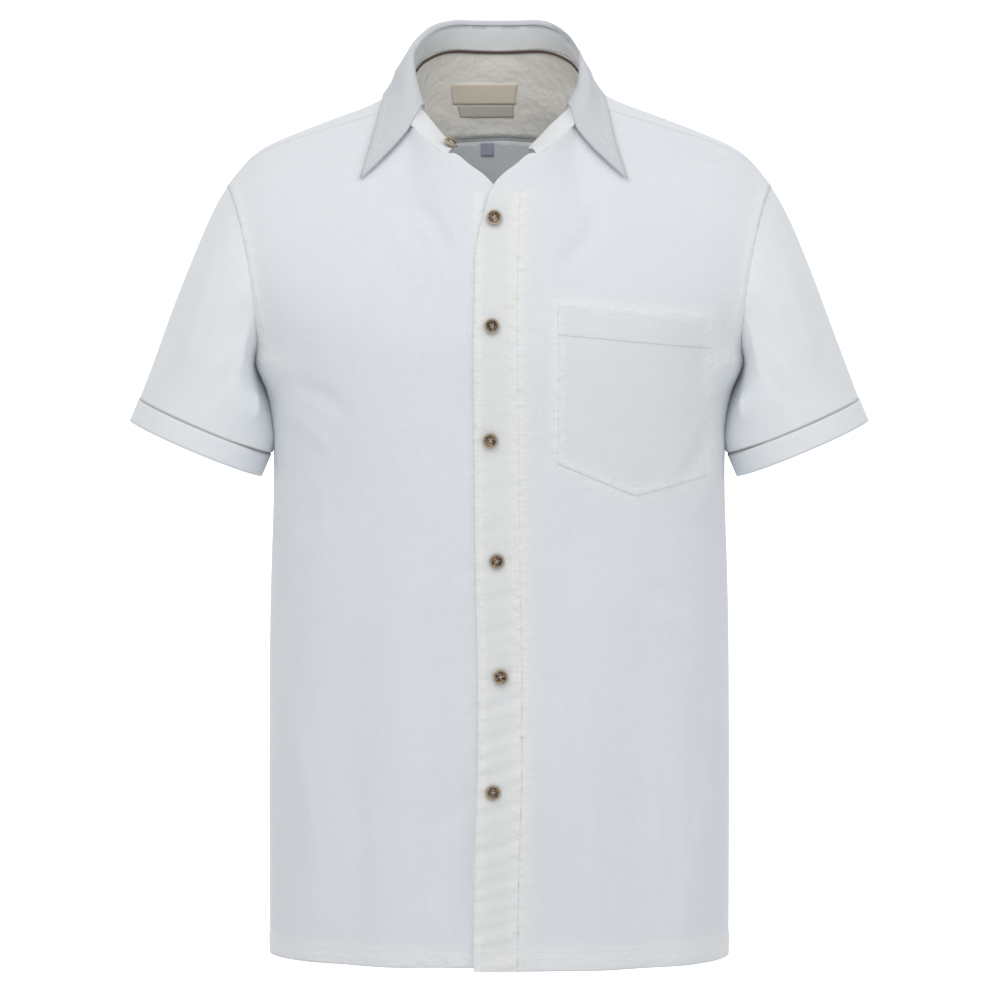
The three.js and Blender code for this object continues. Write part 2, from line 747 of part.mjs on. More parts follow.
function sleeve(side) {
  const ring = armholeRing.slice(0, -1);
  const inside = steps(SLEEVE_ROWS).map((t) =>
    ring.map(({ point, leaving, share }) => {
      const target = cuffPoint(share, -SEAM_GAP - PIPING_RADIUS);
      const reach = along(SLEEVE_START, "around", share, "reach");
      const span = target.distanceTo(point);
      const ease = t * t * (3 - 2 * t);
      const start = point.clone().addScaledVector(leaving, SEAM_GAP);
      const place = start.clone().lerp(target, ease);
      place.addScaledVector(leaving, t * (1 - t) ** 2 * reach);
      place.addScaledVector(armDirection, -t * t * (1 - t) * span * CUFF_PULL);
      return place;
    }),
  );
  const cols = ring.length;
  const normals = inside.map((row, i) =>
    row.map((_, j) => {
      const around = row[(j + 1) % cols].clone().sub(row[(j + cols - 1) % cols]);
      const down = inside[Math.min(i + 1, SLEEVE_ROWS)][j].clone().sub(inside[Math.max(i - 1, 0)][j]);
      return down.cross(around).normalize();
    }),
  );
  const moved = inside.map((row, i) =>
    row.map((p, j) => {
      const fold = sleeveFold(ring[j].share, i / SLEEVE_ROWS);
      return mirrored(p.clone().addScaledVector(normals[i][j], fold), side);
    }),
  );
  const thick = normals.map((row, i) => row.map((n, j) => {
    const own = i === SLEEVE_ROWS ? cuffOutward(ring[j].share) : n;
    return mirrored(i === 0 ? ring[j].mitre : own.clone().multiplyScalar(CLOTH), side);
  }));
  return wall(moved, thick, true);
}

const CUFF_SIDES = 32;

function sleeveBand(side) {
  const rows = [SEAM_GAP + PIPING_RADIUS, SLEEVE_BAND / 2, SLEEVE_BAND];
  const around = steps(CUFF_SIDES).slice(0, -1);
  const inside = rows.map((down) => around.map((share) => mirrored(cuffPoint(share, down), side)));
  const outwards = around.map((share) => mirrored(cuffOutward(share).multiplyScalar(BAND_CLOTH), side));
  return wall(inside, rows.map(() => outwards), true);
}

const CORD_SIDES = 6;
const CORD_LIFT = 1.1;

// A cord along points, with a round section of few sides
function cord(points, radius) {
  const curve = new THREE.CatmullRomCurve3(points);
  const outline = new THREE.Shape(
    Array.from({ length: CORD_SIDES }, (_, i) => {
      const angle = (2 * Math.PI * i) / CORD_SIDES;
      return new THREE.Vector2(radius * Math.cos(angle), radius * Math.sin(angle));
    }),
  );
  const settings = { steps: points.length, bevelEnabled: false, extrudePath: curve };
  return new THREE.ExtrudeGeometry(outline, settings);
}

// The piping between a sleeve and its band
function ringCord(side) {
  const around = steps(CUFF_SIDES).slice(0, -1);
  const turn = steps(CORD_SIDES).slice(0, -1);
  const rings = around.map((share) => {
    const out = cuffOutward(share);
    const centre = cuffPoint(share, 0).addScaledVector(out, CORD_LIFT);
    return turn.map((k) => {
      const [across, down] = [Math.cos(2 * Math.PI * k), Math.sin(2 * Math.PI * k)];
      const place = centre.clone().addScaledVector(out, PIPING_RADIUS * across);
      return mirrored(place.addScaledVector(armDirection, PIPING_RADIUS * down), side);
    });
  });
  return torus(rings);
}

// A closed tube from rings of points that come back to the first ring
function torus(rings) {
  const rows = rings.length;
  const cols = rings[0].length;
  const id = (i, j) => (i % rows) * cols + (j % cols);
  const faces = [];
  rings.forEach((_, i) =>
    rings[0].forEach((__, j) => {
      faces.push(id(i, j), id(i + 1, j), id(i + 1, j + 1), id(i, j), id(i + 1, j + 1), id(i, j + 1));
    }),
  );
  return facingOut(rings.flat(), faces);
}

// The collar is drawn by the share from centre back to the front end, on both sides
const backNeckParts = steps(YOKE_NECK_COLS).map((t) => t * NECK_AT_SHOULDER);
const neckPosts = [...backNeckParts, ...FRONT_NECK_PARTS.slice(0, -1).reverse()].map((part) => {
  const [x, travel] = [along(NECK, "part", part, "x"), along(NECK, "part", part, "travel")];
  return { part, point: form(x, travel), normal: outward(x, travel) };
});

// A place on the neck seam, on the same chords as the edges of the yoke and fronts
function neckSeam(signed) {
  const part = Math.abs(signed);
  const side = Math.sign(signed) || 1;
  const next = Math.max(1, neckPosts.findIndex((post) => post.part >= part - 1e-9));
  const [from, to] = [neckPosts[next - 1], neckPosts[next]];
  const share = (part - from.part) / (to.part - from.part);
  const point = mirrored(from.point.clone().lerp(to.point, share), side);
  const normal = mirrored(from.normal.clone().lerp(to.normal, share).normalize(), side);
  return { point, normal, side, part };
}

function standVector({ part, side }) {
  const [inward, back, up] = ["inward", "back", "up"].map((name) => along(STAND, "part", part, name));
  return vec(-side * inward, back, up);
}

const STAND_COLS = 36;
const STAND_ROWS = 3;

// The stand clears the neck seam by these many seam gaps, at its back and at its front ends
const STAND_CLEARANCE = [2, 9];

function collarStand() {
  const parts = steps(STAND_COLS).map((t) => mix(-1, 1, t));
  const bases = parts.map(neckSeam);
  const inside = steps(STAND_ROWS).map((t) =>
    bases.map((base) => {
      const lean = standVector(base);
      const clear = SEAM_GAP * mix(...STAND_CLEARANCE, base.part ** 6);
      return base.point.clone().addScaledVector(lean.clone().normalize(), clear).addScaledVector(lean, t);
    }),
  );
  const thick = inside.map((row, i) =>
    row.map((p, j) => {
      const next = row[Math.min(j + 1, STAND_COLS)].clone().sub(row[Math.max(j - 1, 0)]);
      const own = next.cross(standVector(bases[j])).normalize();
      if (own.dot(bases[j].normal) < 0) own.negate();
      const normal = i === 0 ? bases[j].normal.clone() : own;
      return normal.multiplyScalar(i === 0 ? CLOTH : COLLAR_CLOTH);
    }),
  );
  return wall(inside, thick);
}

const LEAF_COLS = 30;
const LEAF_ROWS = 8;
const LEAF_CROWDING = 1.15;
const PART_STEP = 0.02;

// The roll's section, up as a share of the roll and in mm, and out in collar cloths and in mm
const ROLL_SECTION = [
  [0, 2.3, 0.4, 0],
  [0.8, 1.5, 0.9, 0],
  [1, 1.5, 1, 2],
  [0.3, 0, 1, 5],
];

// The outward direction of the stand, across the neck seam and its own lean
function standNormal(base) {
  const signed = base.side * base.part;
  const ahead = neckSeam(Math.min(signed + PART_STEP, 1)).point;
  const behind = neckSeam(Math.max(signed - PART_STEP, -1)).point;
  const normal = ahead.sub(behind).cross(standVector(base)).normalize();
  return normal.dot(base.normal) < 0 ? normal.negate() : normal;
}

// One section of the collar leaf: up off the stand, over the roll, past the neck seam, to its edge
function leafSection(signed) {
  const base = neckSeam(signed);
  const { side, part } = base;
  const lean = standVector(base);
  const top = base.point.clone().add(lean);
  const out = standNormal(base);
  const roll = along(LEAF, "part", part, "roll");
  const up = lean.clone().normalize();
  const turned = ROLL_SECTION.map(([share, rise, cloths, off]) =>
    top.clone().addScaledVector(up, roll * share + rise).addScaledVector(out, COLLAR_CLOTH * cloths + off),
  );
  const [x, y, z] = ["x", "y", "z"].map((name) => along(LEAF, "part", part, name));
  const overSeam = base.point.clone().addScaledVector(base.normal, along(LEAF, "part", part, "off"));
  return [...turned, overSeam, vec(side * x, y, z)];
}

function collarLeaf() {
  const parts = steps(LEAF_COLS).map((t) => mix(-LEAF_END, LEAF_END, t));
  const curves = parts.map((part) => new THREE.CatmullRomCurve3(leafSection(part), false, "centripetal"));
  const spread = steps(LEAF_ROWS).map((t) => t ** LEAF_CROWDING);
  const inside = spread.map((t) => curves.map((curve) => curve.getPoint(t)));
  const thick = inside.map((row, i) =>
    row.map((_, j) => {
      const across = row[Math.min(j + 1, LEAF_COLS)].clone().sub(row[Math.max(j - 1, 0)]);
      const down = inside[Math.min(i + 1, LEAF_ROWS)][j].clone().sub(inside[Math.max(i - 1, 0)][j]);
      return across.cross(down).normalize().multiplyScalar(COLLAR_CLOTH);
    }),
  );
  return wall(inside, thick);
}

// The place of a button on the placket, over the wearer's left front
function onPlacket(x, z) {
  const travel = travelAt(-1, x, z);
  const normal = outward(x, travel);
  const lift = overlapLift(x, travel, 1) + 2 * LAYER + BUTTON_GAP - SEAM_GAP;
  return { point: form(x, travel).addScaledVector(normal, lift), normal };
}

const { Manifold, Mesh: SolidMesh } = await (async () => {
  const made = await Module();
  made.setup();
  return made;
})();

function toSolid(geometry) {
  const bare = geometry.clone();
  bare.deleteAttribute("normal");
  bare.deleteAttribute("uv");
  const merged = mergeVertices(bare);
  const vertProperties = Float32Array.from(merged.attributes.position.array);
  const triVerts = Uint32Array.from(merged.index.array);
  return new Manifold(new SolidMesh({ numProp: 3, vertProperties, triVerts }));
}

function toGeometry(solid) {
  const { vertProperties, triVerts } = solid.getMesh();
  const geometry = new THREE.BufferGeometry();
  geometry.setAttribute("position", new THREE.BufferAttribute(Float32Array.from(vertProperties), 3));
  geometry.setIndex(Array.from(triVerts));
  geometry.computeVertexNormals();
  return geometry;
}

// A block in front of the chest, as wide and tall as an outline of x and z
function frontBlock(outline) {
  const shape = new THREE.Shape(outline.map(([x, z]) => new THREE.Vector2(x, z)));
  const block = new THREE.ExtrudeGeometry(shape, { depth: CHEST_BLOCK, bevelEnabled: false });
  return toSolid(block.rotateX(Math.PI / 2).translate(0, RIDGE_Y, 0));
}

// The panel's outer points moved out into a layer, cut to an outline of x and z
function appliedCloth(front, outline, thickness) {
  const { inside, thick } = layerOver(front, thickness);
  return toSolid(wall(inside, thick)).intersect(frontBlock(outline));
}

// The placket's foot steps back from the front edge, where the hem is turned
const PLACKET_FOOT_STEP = 3.2;

function placket(front) {
  const edge = SWAY.map(({ x, z }) => [STRIP_EDGE + x, z]);
  const bottom = HEM_Z - 2 * HEM_HEIGHT;
  const foot = [[-STRIP_WIDTH, bottom], [STRIP_EDGE - PLACKET_FOOT_STEP, bottom]];
  return toGeometry(appliedCloth(front, [...foot, ...edge, [-STRIP_WIDTH, 0]], CLOTH));
}

function pocket(front) {
  const { inner, outer, top, slant, side, point } = POCKET;
  const topAt = (x, drop) => [x, top - (x - inner) * slant - drop];
  const topEdge = [topAt(outer, 0), topAt(inner, 0)];
  const foot = [topAt(inner, side), topAt((inner + outer) / 2, point), topAt(outer, side)];
  const body = [...foot, ...topEdge];
  const band = [topAt(inner, POCKET_BAND), topAt(outer, POCKET_BAND), ...topEdge];
  const plain = appliedCloth(front, body, CLOTH);
  return toGeometry(plain.add(appliedCloth(front, band, CLOTH + HEM_EXTRA)));
}

// A turned button with a dished face, lying on a point of cloth
function button(point, normal) {
  const profile = [
    [0, 0],
    [BUTTON_RADIUS * 0.72, 0],
    [BUTTON_RADIUS, BUTTON_HEIGHT * 0.45],
    [BUTTON_RADIUS * 0.92, BUTTON_HEIGHT],
    [BUTTON_RADIUS * 0.72, BUTTON_HEIGHT],
    [BUTTON_RADIUS * 0.56, BUTTON_HEIGHT - BUTTON_DISH],
    [0, BUTTON_HEIGHT - BUTTON_DISH],
  ].map(([r, h]) => new THREE.Vector2(r, h));
  const turn = new THREE.Quaternion().setFromUnitVectors(vec(0, 1, 0), normal);
  const geometry = new THREE.LatheGeometry(profile, BUTTON_SIDES);
  geometry.applyQuaternion(turn).translate(point.x, point.y, point.z);
  return geometry;
}

function frontButtons() {
  BUTTON_PLACES.forEach(([z, nudge], i) => {
    const { point, normal } = onPlacket(sway(z) + nudge, z);
    add(`button_${i + 1}`, button(point, normal), COLOURS.button, 0.35);
  });
}

// The collar button sits on the right end of the stand, this far round the neck and up the stand
const COLLAR_BUTTON = { part: 0.955, reach: 0.035, up: 0.56, off: COLLAR_CLOTH + 1.5 * SEAM_GAP };

function collarButton() {
  const { part, reach, up, off } = COLLAR_BUTTON;
  const base = neckSeam(-part);
  const lean = standVector(base);
  const across = neckSeam(-part - reach).point.sub(neckSeam(-part + reach).point);
  const normal = across.cross(lean).normalize();
  if (normal.dot(base.normal) < 0) normal.negate();
  const seat = base.point.clone().addScaledVector(lean, up).addScaledVector(normal, off);
  return button(seat, normal);
}

const LABEL_CLOTH = 0.8;

// A flat woven label against the inside of the form, as far in as its lift
function label({ x, top, width, height }, lift) {
  const cells = steps(2).map((v) =>
    steps(6).map((u) => {
      const at = x + (u - 0.5) * width;
      const travel = travelAt(1, at, top - v * height);
      const normal = outward(at, travel).negate();
      return { point: form(at, travel).addScaledVector(normal, lift), normal };
    }),
  );
  const inside = cells.map((row) => row.map(({ point }) => point));
  const thick = cells.map((row) => row.map(({ normal }) => normal.clone().multiplyScalar(LABEL_CLOTH)));
  return wall(inside, thick);
}

const NECK_PIPING_REACH = 0.5;
const NECK_PIPING_COLS = 18;

// The piping along the back of the neck seam, on the inside
function neckPiping() {
  const parts = steps(NECK_PIPING_COLS).map((t) => mix(-NECK_PIPING_REACH, NECK_PIPING_REACH, t));
  const points = parts.map((part) => {
    const { point, normal } = neckSeam(part);
    return point.addScaledVector(normal, -LAYER - PIPING_RADIUS - 2 * SEAM_GAP);
  });
  return cord(points, PIPING_RADIUS);
}

const leftFront = frontPanel(1);
const rightFront = frontPanel(-1);
add("front_right", wall(rightFront.inside, rightFront.thick), COLOURS.linen);
add("front_left", wall(leftFront.inside, leftFront.thick), COLOURS.linen);
add("back", backPanel(), COLOURS.linen);
add("yoke", yoke(), COLOURS.linen);
add("yoke_facing", yokeFacing(), COLOURS.facing);
add("placket", placket(leftFront), COLOURS.linen);
add("pocket", pocket(leftFront), COLOURS.linen);
for (const [name, side] of [["right", -1], ["left", 1]]) {
  add(`sleeve_${name}`, sleeve(side), COLOURS.linen);
  add(`sleeve_band_${name}`, sleeveBand(side), COLOURS.linen);
  add(`sleeve_piping_${name}`, ringCord(side), COLOURS.piping);
}
add("collar_stand", collarStand(), COLOURS.linen);
add("collar_leaf", collarLeaf(), COLOURS.linen);
add("neck_piping", neckPiping(), COLOURS.piping);
frontButtons();
add("collar_button", collarButton(), COLOURS.button, 0.35);
for (const [name, size] of Object.entries(LABELS)) {
  add(name, label(size, LAYER + 3 * SEAM_GAP), COLOURS.label);
}
add("size_tab", label(SIZE_TAB, 2 * SEAM_GAP), COLOURS.tab);

export default group;
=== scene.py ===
"""A short-sleeved linen bush shirt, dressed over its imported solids. Tables are in millimetres."""

import math
import random

import bmesh
import bpy
import numpy as np
from bpy.props import FloatProperty, FloatVectorProperty, PointerProperty
from mathutils import Matrix, Vector
from mathutils.bvhtree import BVHTree


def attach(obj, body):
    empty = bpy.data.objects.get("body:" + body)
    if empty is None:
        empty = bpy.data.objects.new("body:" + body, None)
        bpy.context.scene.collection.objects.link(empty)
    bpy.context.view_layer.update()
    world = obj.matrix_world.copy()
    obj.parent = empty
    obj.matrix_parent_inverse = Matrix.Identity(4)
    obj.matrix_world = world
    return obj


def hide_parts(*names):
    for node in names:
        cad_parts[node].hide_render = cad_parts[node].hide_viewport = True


bl_info = {
    "name": "Linen Bush Shirt",
    "version": (1, 0, 0),
    "blender": (4, 5, 0),
    "location": "View3D > Sidebar > Shirt",
    "description": "Dresses the packed bush shirt in linen, stitching, piping and horn buttons",
    "category": "Object",
}

MM = 0.001
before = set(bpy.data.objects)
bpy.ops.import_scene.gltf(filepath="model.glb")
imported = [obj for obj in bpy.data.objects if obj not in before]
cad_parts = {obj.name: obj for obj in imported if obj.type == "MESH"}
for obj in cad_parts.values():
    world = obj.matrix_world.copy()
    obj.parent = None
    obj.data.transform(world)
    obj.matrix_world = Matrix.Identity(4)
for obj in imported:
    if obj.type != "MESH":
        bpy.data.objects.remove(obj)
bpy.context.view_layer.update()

# The torso's middle depth, and the half width and depth of the round that its cloth follows
MIDDLE_Y = 5
TORSO_ROUND = (188, 112)
TORSO_TURN = 155

# Where the sleeves join the body, and how the arms hang
ARMHOLE_Z = (-225, -188, -162, -128, -107, -86)
ARMHOLE_X = (195, 200, 205.5, 211, 215, 222)
ARM_ANGLE = math.radians(22.9)
CUFF_CENTRE = (241.4, 2, -279.2)
CUFF_RADIUS = 58
NECK_RADIUS = 75

# Where the cloth lies nearly level over the shoulder: from the middle in y, and above this height
SHOULDER_DEPTH = 60
SHOULDER_Z = -60

# Cloth pieces: the CAD node, its flat cut and flat area, what it is sewn to, and its fineness
CLOTH_PIECES = {
    "front_right": ((0.300, 0.720), 0.182, ["yoke", "back"], 3),
    "front_left": ((0.300, 0.720), 0.184, ["yoke", "back"], 3),
    "back": ((0.560, 0.680), 0.311, ["yoke"], 3),
    "yoke": ((0.460, 0.140), 0.044, ["back"], 3),
    "yoke_facing": ((0.460, 0.140), 0.040, ["yoke"], 2),
    "collar_stand": ((0.370, 0.024), 0.0088, ["yoke"], 2),
    "collar_leaf": ((0.420, 0.085), 0.0225, ["collar_stand"], 3),
    "sleeve_right": ((0.400, 0.190), 0.046, ["yoke", "front_right"], 3),
    "sleeve_left": ((0.400, 0.190), 0.046, ["yoke", "front_left"], 3),
    "sleeve_band_right": ((0.375, 0.020), 0.0070, ["sleeve_right"], 2),
    "sleeve_band_left": ((0.375, 0.020), 0.0070, ["sleeve_left"], 2),
}
RIM_ANGLE = math.radians(50)

# A cut edge is a row of faces this thin; it reaches out this far, so that seams close
THIN_RIM = 2.3
RIM_REACH = 0.28

# Cloth in front of this depth belongs to the fronts, its faces with a normal below this point
# forward, and its sewing lies below this height
FRONT_Y = MIDDLE_Y - 30
FORWARD = -0.15
SEWN_TOP = -84

# The front edge sways: height and how far its middle moves across
SWAY_Z = (-714, -620, -565, -470, -390, -250, -170, -100, -70)
SWAY_X = (-3.2, -1.4, 0.6, 0.8, -1, -2.4, -3.2, -1.5, 0)

# A layer's foot sinks this far into the front, so that no gap shows under its edge
LAYER_SUNK = 0.2

# The button strip, and the height below which it is stitched
STRIP_EDGE = 17
STRIP_TOP = -82
STRIP_THICKNESS = 1.5
STRIP_ROWS = (STRIP_EDGE - 2.6, -15.5)
STRIP_ROWS_TOP = -90

# Its wrinkles: edges longer than this are halved so many times, their depth and what is added low
# down, the slant of their crests, and the waves
WRINKLE_MESH = 3
WRINKLE_HALVINGS = 2
WRINKLE_DEPTH = 0.15
WRINKLE_ADDED = 0.7
WRINKLE_Z = (330, 600)
WRINKLE_SLANT = (0.9, 0.3)
FINE_WAVE = 2.5
FINE_WANDER = (2.2, 37)
BREAK_WAVES = (13, 29)
CROSS_WAVE = (0.6, 0.5, 4.6)

# The pocket's corners in x and z, and the foot of its turned top band
POCKET = ((47.7, -173.7), (171.2, -186), (171.2, -314.5), (109.4, -329), (47.7, -302.2))
POCKET_BAND = 25
POCKET_THICKNESS = 1.3
POCKET_BAND_LIFT = 1.0
POCKET_BAND_THICKNESS = 0.7

# Its rows of stitches lie this share of the way to its middle, and one this far above the band's foot
POCKET_INSETS = (0.028, 0.12)
POCKET_ROW_RISE = 1.5
POCKET_ROW_IN = 2

# The yoke's seam on the back, in x and z from the middle out, and how far above it its stitches are
YOKE_HALF = ((0, -47), (60, -51), (120, -65), (165, -84), (200, -104))
YOKE_SEAM = (*((-x, z) for x, z in YOKE_HALF[:0:-1]), *YOKE_HALF)
YOKE_ROW = 3

# The hem, how far it stands out, and the oval from which its stitches are cast onto it
HEM_Z = -711.5
HEM_HEIGHT = 13
HEM_RISE = 0.7
HEM_OVAL = (400, 300)
HEM_RAYS = 1200

# How strongly the linen is drawn up along a sewn line, and how far to its sides
HEM_PUCKER = (0.7, 9)
ARMHOLE_PUCKER = (0.6, 7)
YOKE_PUCKER = (0.7, 7)
POCKET_PUCKER = (0.8, 6)
STRIP_PUCKERS = ((STRIP_EDGE, 8), (-15, 5))
ARMHOLE_PUCKER_IN = 6

# The body's ease fades out at the side seams, the armholes and the neck
SIDE_FADE = (2, 30)
ARMHOLE_FADE = (-26, -4)
ARMHOLE_MARGIN = 12
NECK_FADE = (-95, -50)
SHOULDER_FADE = (90, 130)

# The topstitched band inside the armhole: its two edges, how far it stands out, and its stitches
BAND_INNER = (-10, -7.6)
BAND_OUTER = (-3, -0.5)
BAND_RISE = 0.7
ARMHOLE_ROW = 8
ARMHOLE_ROW_Z = range(-90, -218, -8)

# How far the sleeve's cap closes on the armhole, and how far from the seam
ARMHOLE_CLOSE = 0.45
CAP_FADE = (1, 9)

# How far the body's cloth fills the corner under the arm, and where
UNDERARM_FILL = 6.5
UNDERARM_Z = -229
UNDERARM_REACH = 15
UNDERARM_X = (160, 184)
UNDERARM_Y = (5, 30)

# A sleeve's ease fades out at the armhole and the cuff
SLEEVE_UNEVEN = 0.8
SLEEVE_TOP_FADE = (3, 26)
CUFF_FADE = (2, 16)

# How far a sleeve's underarm hangs in against the body: where this starts and ends, down from the
# neck, and its middle and reach in degrees round the sleeve
UNDERARM_HANG = 7.5
HANG_START = (212, 232)
HANG_END = (285, 318)
HANG_CENTRE = 26
HANG_REACH = 30

# How far the sleeve and its band close on the piping between them, and how deep it sinks
PIPING_CLOSE = 0.55
PIPING_FADE = (1, 5)
PIPING_SUNK = 0.95

# How deep the neck's piping sinks, what is added at its ends, and where they are
NECK_PIPING_SUNK = 0.2
NECK_PIPING_ADDED = 0.9
NECK_PIPING_ENDS = (48, 53)

# The collar leaf's unevenness: its share, the lengths of its waves, how oval the collar is, and
# where it fades out below the fold
LEAF_UNEVEN = 0.9
LEAF_WAVES = (30, 90)
LEAF_OVAL = 1.2
LEAF_FADE = (-42, -10)

# How the worn neck lies: at each height, how far its cloth moves across on the wearer's right and
# left, next to the neck and then at the collar leaf's outside, and where both of those lie
NECK_HALF = 52
NECK_Z = (-98, -76, -51, -33, -19, -1, 26, 50)
NECK_MOVE = ((0, -4.5, -5, -5, -8, -9, -10, -8), (0, -4.5, -7, -6, 1, 6, 6, 4))
LEAF_Z = (-8, 12, 50)
LEAF_MOVE = ((0, -9.5, -7.5), (-9, -1.5, -1))
LEAF_SIDE_Z = (-40, -20, -8, -2, 4, 16, 28, 40, 46, 52)
LEAF_INSIDE = (60, 66.5, 67.2, 67, 66.6, 64, 60.5, 51.6, 43.4, 36)
LEAF_OUTSIDE = (102, 98.4, 96.4, 90, 83.4, 74.5, 67.5, 60, 54, 45)

# Where these moves fade out: out on the shoulders, and down behind the neck
SHOULDERS = (66, 115)
NAPE = (-40, -5)

# How much of its move across takes a collar point forward, and from where
POINT_FORWARD = 0.3
POINT_X = (70, 100)
POINT_Y = -20

# The top of the fronts rises beside the opening: how far, and where
FRONT_LIFT = 5.5
LIFT_X = 30
LIFT_REACH = 9
LIFT_Z = (-80, -62)
LIFT_Y = (60, 78)

# The collar's stand closes on its leaf from this far, and wholly within this share of the way
STAND_CLOSE = 5
CLOSE_FADE = 0.35

# A row of stitches 5 mm inside the collar leaf's edge, on one side
LEAF_STITCHES = ((73, -45, -25.5), (101.4, -60, -55.7), (95.7, -40, -38), (91.5, -22, -18.5), (89, 0, -7))

# Labels lie this much nearer to the cloth than their solids, which keep a gap to it
LABEL_SETTLE = 0.55

# Thread: length and pitch of a stitch, how thick it is and how much of that it is raised, its rings
# as shares of both, and the gap at which a row is broken off
STITCH = 2.3
STITCH_PITCH = 3.3
THREAD_RADIUS = 0.24
THREAD_RAISED = 0.3
THREAD_RINGS = ((-0.5, 0.35), (-0.25, 1), (0.25, 1), (0.5, 0.35))
ROW_GAP = 8

# Where the rays start that carry stitches onto the cloth, in front of it or behind it
RAY_START = 300

# A button: its size, its turned profile as shares of its radius and height, where its rim pales,
# its four holes, and the thread across its face
BUTTON_RADIUS = 6.3
BUTTON_HEIGHT = 2.8
BUTTON_FACE = ((0.82, 1), (0.7, 0.93), (0.6, 0.68), (0.5, 0.6), (0, 0.6))
BUTTON_PROFILE = ((0, 0), (0.78, 0), (1, 0.35), (1, 0.62), (0.93, 0.94), *BUTTON_FACE)
RIM_FADE = (0.66, 0.86)
RIM_PALE = 0.8
HOLE_PLACE = 1.15
HOLE_RADIUS = 0.72
TIE_HEIGHT = 1.78
TIE_LENGTH = 4.2
TIE_RADIUS = 0.5
TIE_FLATNESS = 0.4

# The soft unevenness: its seeds, its height, and where its waves may start
SEEDS = {"body": 5, "sleeve": 11, "collar": 23}
UNEVEN_HEIGHT = 2.6
PHASES = (0, 6.28)

# Linen: the length of a slub; noises in waves per metre across and along, with their detail; how
# high threads and puckers stand in the relief, and its depth in metres
SLUB_LENGTH = 34
BLOTCHES = (14, 11, 3.0)
RUMPLES = (70, 60, 4.0)
PULLS = (120, 150, 1.0)
CRUSHES = (26, 34, 3.0)
THREAD_RELIEF = 0.22
PUCKER_RELIEF = 4.5
LINEN_RELIEF = 0.0009
INNER_YOKE_CRUSH = 9.0

# How much whiter the linen is painted where it is sewn double: painted light, standing in for two layers
# letting less show through
SEWN_PAINTED_LIGHT = 0.45

# The stage, in metres: sheets as profiles in y and z with half their width, lights, and where the
# camera looks. The backdrop stands far off, so that a camera behind the shirt comes before it
FLOOR = ([(-4.0, -1.25), (2.4, -1.25)], 4)
BACKDROP = ([(8.0, -2.4), (8.0, 9.0)], 11)
SHIRT_MIDDLE = (0, 0, -0.35)
KEY_PLACE = (-0.5, -1.5, 1.35)
FILL_PLACE = (1.2, -1.6, 1.15)
LIGHT_SIZE = 1.4
LOOK_AT = (0.0006, 0, -0.340)

# Creases of the body: both ends in x and z, width and depth; a ridge is above zero
FRONT_CREASES = (
    (-149, -326, -168, -366, 9, -2.6),
    (-138, -338, -158, -384, 8, 1.8),
    (122, -402, 152, -430, 8, -2.2),
    (118, -420, 146, -446, 8, 1.4),
    (-60, -470, -84, -690, 16, 2.2),
    (-26, -560, -34, -712, 9, -2.6),
    (30, -540, 40, -712, 10, -2.8),
    (62, -500, 76, -712, 13, 2.0),
    (-120, -560, -116, -700, 13, -1.8),
    (128, -520, 140, -700, 12, -1.6),
    (-176, -238, -118, -268, 10, -2.2),
    (-180, -262, -132, -300, 10, 1.6),
    (180, -246, 140, -330, 11, -2.0),
    (184, -280, 156, -350, 10, 1.6),
    (-70, -92, -38, -148, 12, -1.8),
    (-96, -96, -60, -190, 16, 1.4),
    (84, -92, 44, -150, 12, -1.8),
    (22, -190, 48, -236, 8, -1.1),
    (22, -282, 50, -318, 8, -1.0),
    (-22, -376, -54, -410, 9, -1.1),
    (22, -470, 54, -500, 9, -1.3),
    (-22, -565, -60, -600, 10, -1.4),
    (-182, -470, -150, -640, 12, 1.7),
    (176, -450, 160, -640, 12, 1.8),
)
BACK_CREASES = (
    (-60, -120, -96, -260, 18, -3.0),
    (60, -130, 92, -250, 18, -2.8),
    (-20, -110, -34, -330, 16, 2.2),
    (26, -120, 32, -360, 16, 2.0),
    (-120, -360, -140, -420, 10, -2.2),
    (118, -340, 150, -410, 10, -2.4),
    (-176, -240, -130, -290, 11, -2.4),
    (178, -250, 132, -300, 11, -2.4),
    (-74, -450, -80, -700, 14, 2.6),
    (20, -430, 26, -700, 13, -2.6),
    (74, -470, 84, -700, 14, 2.4),
    (-24, -500, -30, -690, 13, 2.2),
    (122, -480, 128, -700, 12, -2.2),
    (-122, -500, -126, -700, 12, -2.0),
)

# Creases of a sleeve: degrees round from the underarm past the front, millimetres up from the
# cuff at both ends, how far round it drifts on its way up, width and depth
SLEEVE_CREASES = (
    (34, 20, 120, 26, 8, 2.8),
    (52, 10, 110, 24, 9, -3.0),
    (74, 30, 130, 22, 10, 1.8),
    (96, 14, 90, -18, 10, -1.6),
    (124, 40, 150, 14, 12, 1.2),
    (160, 20, 110, -12, 13, -1.2),
    (205, 30, 140, 10, 13, 1.3),
    (244, 16, 110, -16, 11, -1.8),
    (276, 30, 130, -22, 10, 1.8),
    (304, 10, 110, -24, 9, -2.8),
    (328, 20, 120, -26, 8, 2.6),
)


def linear(hex_colour):
    """An sRGB hex colour as linear red, green, blue and alpha."""
    parts = [int(hex_colour[i : i + 2], 16) / 255 for i in (1, 3, 5)]
    return [p / 12.92 if p <= 0.04045 else ((p + 0.055) / 1.055) ** 2.4 for p in parts] + [1.0]


def add_node(tree, kind, settings=None, inputs=None):
    """Adds a node with its settings; an input is a value, or another node's output socket."""
    node = tree.nodes.new(kind)
    for key, value in (settings or {}).items():
        setattr(node, key, value)
    for key, value in (inputs or {}).items():
        if isinstance(value, bpy.types.NodeSocket):
            tree.links.new(value, node.inputs[key])
        else:
            node.inputs[key].default_value = value
    return node


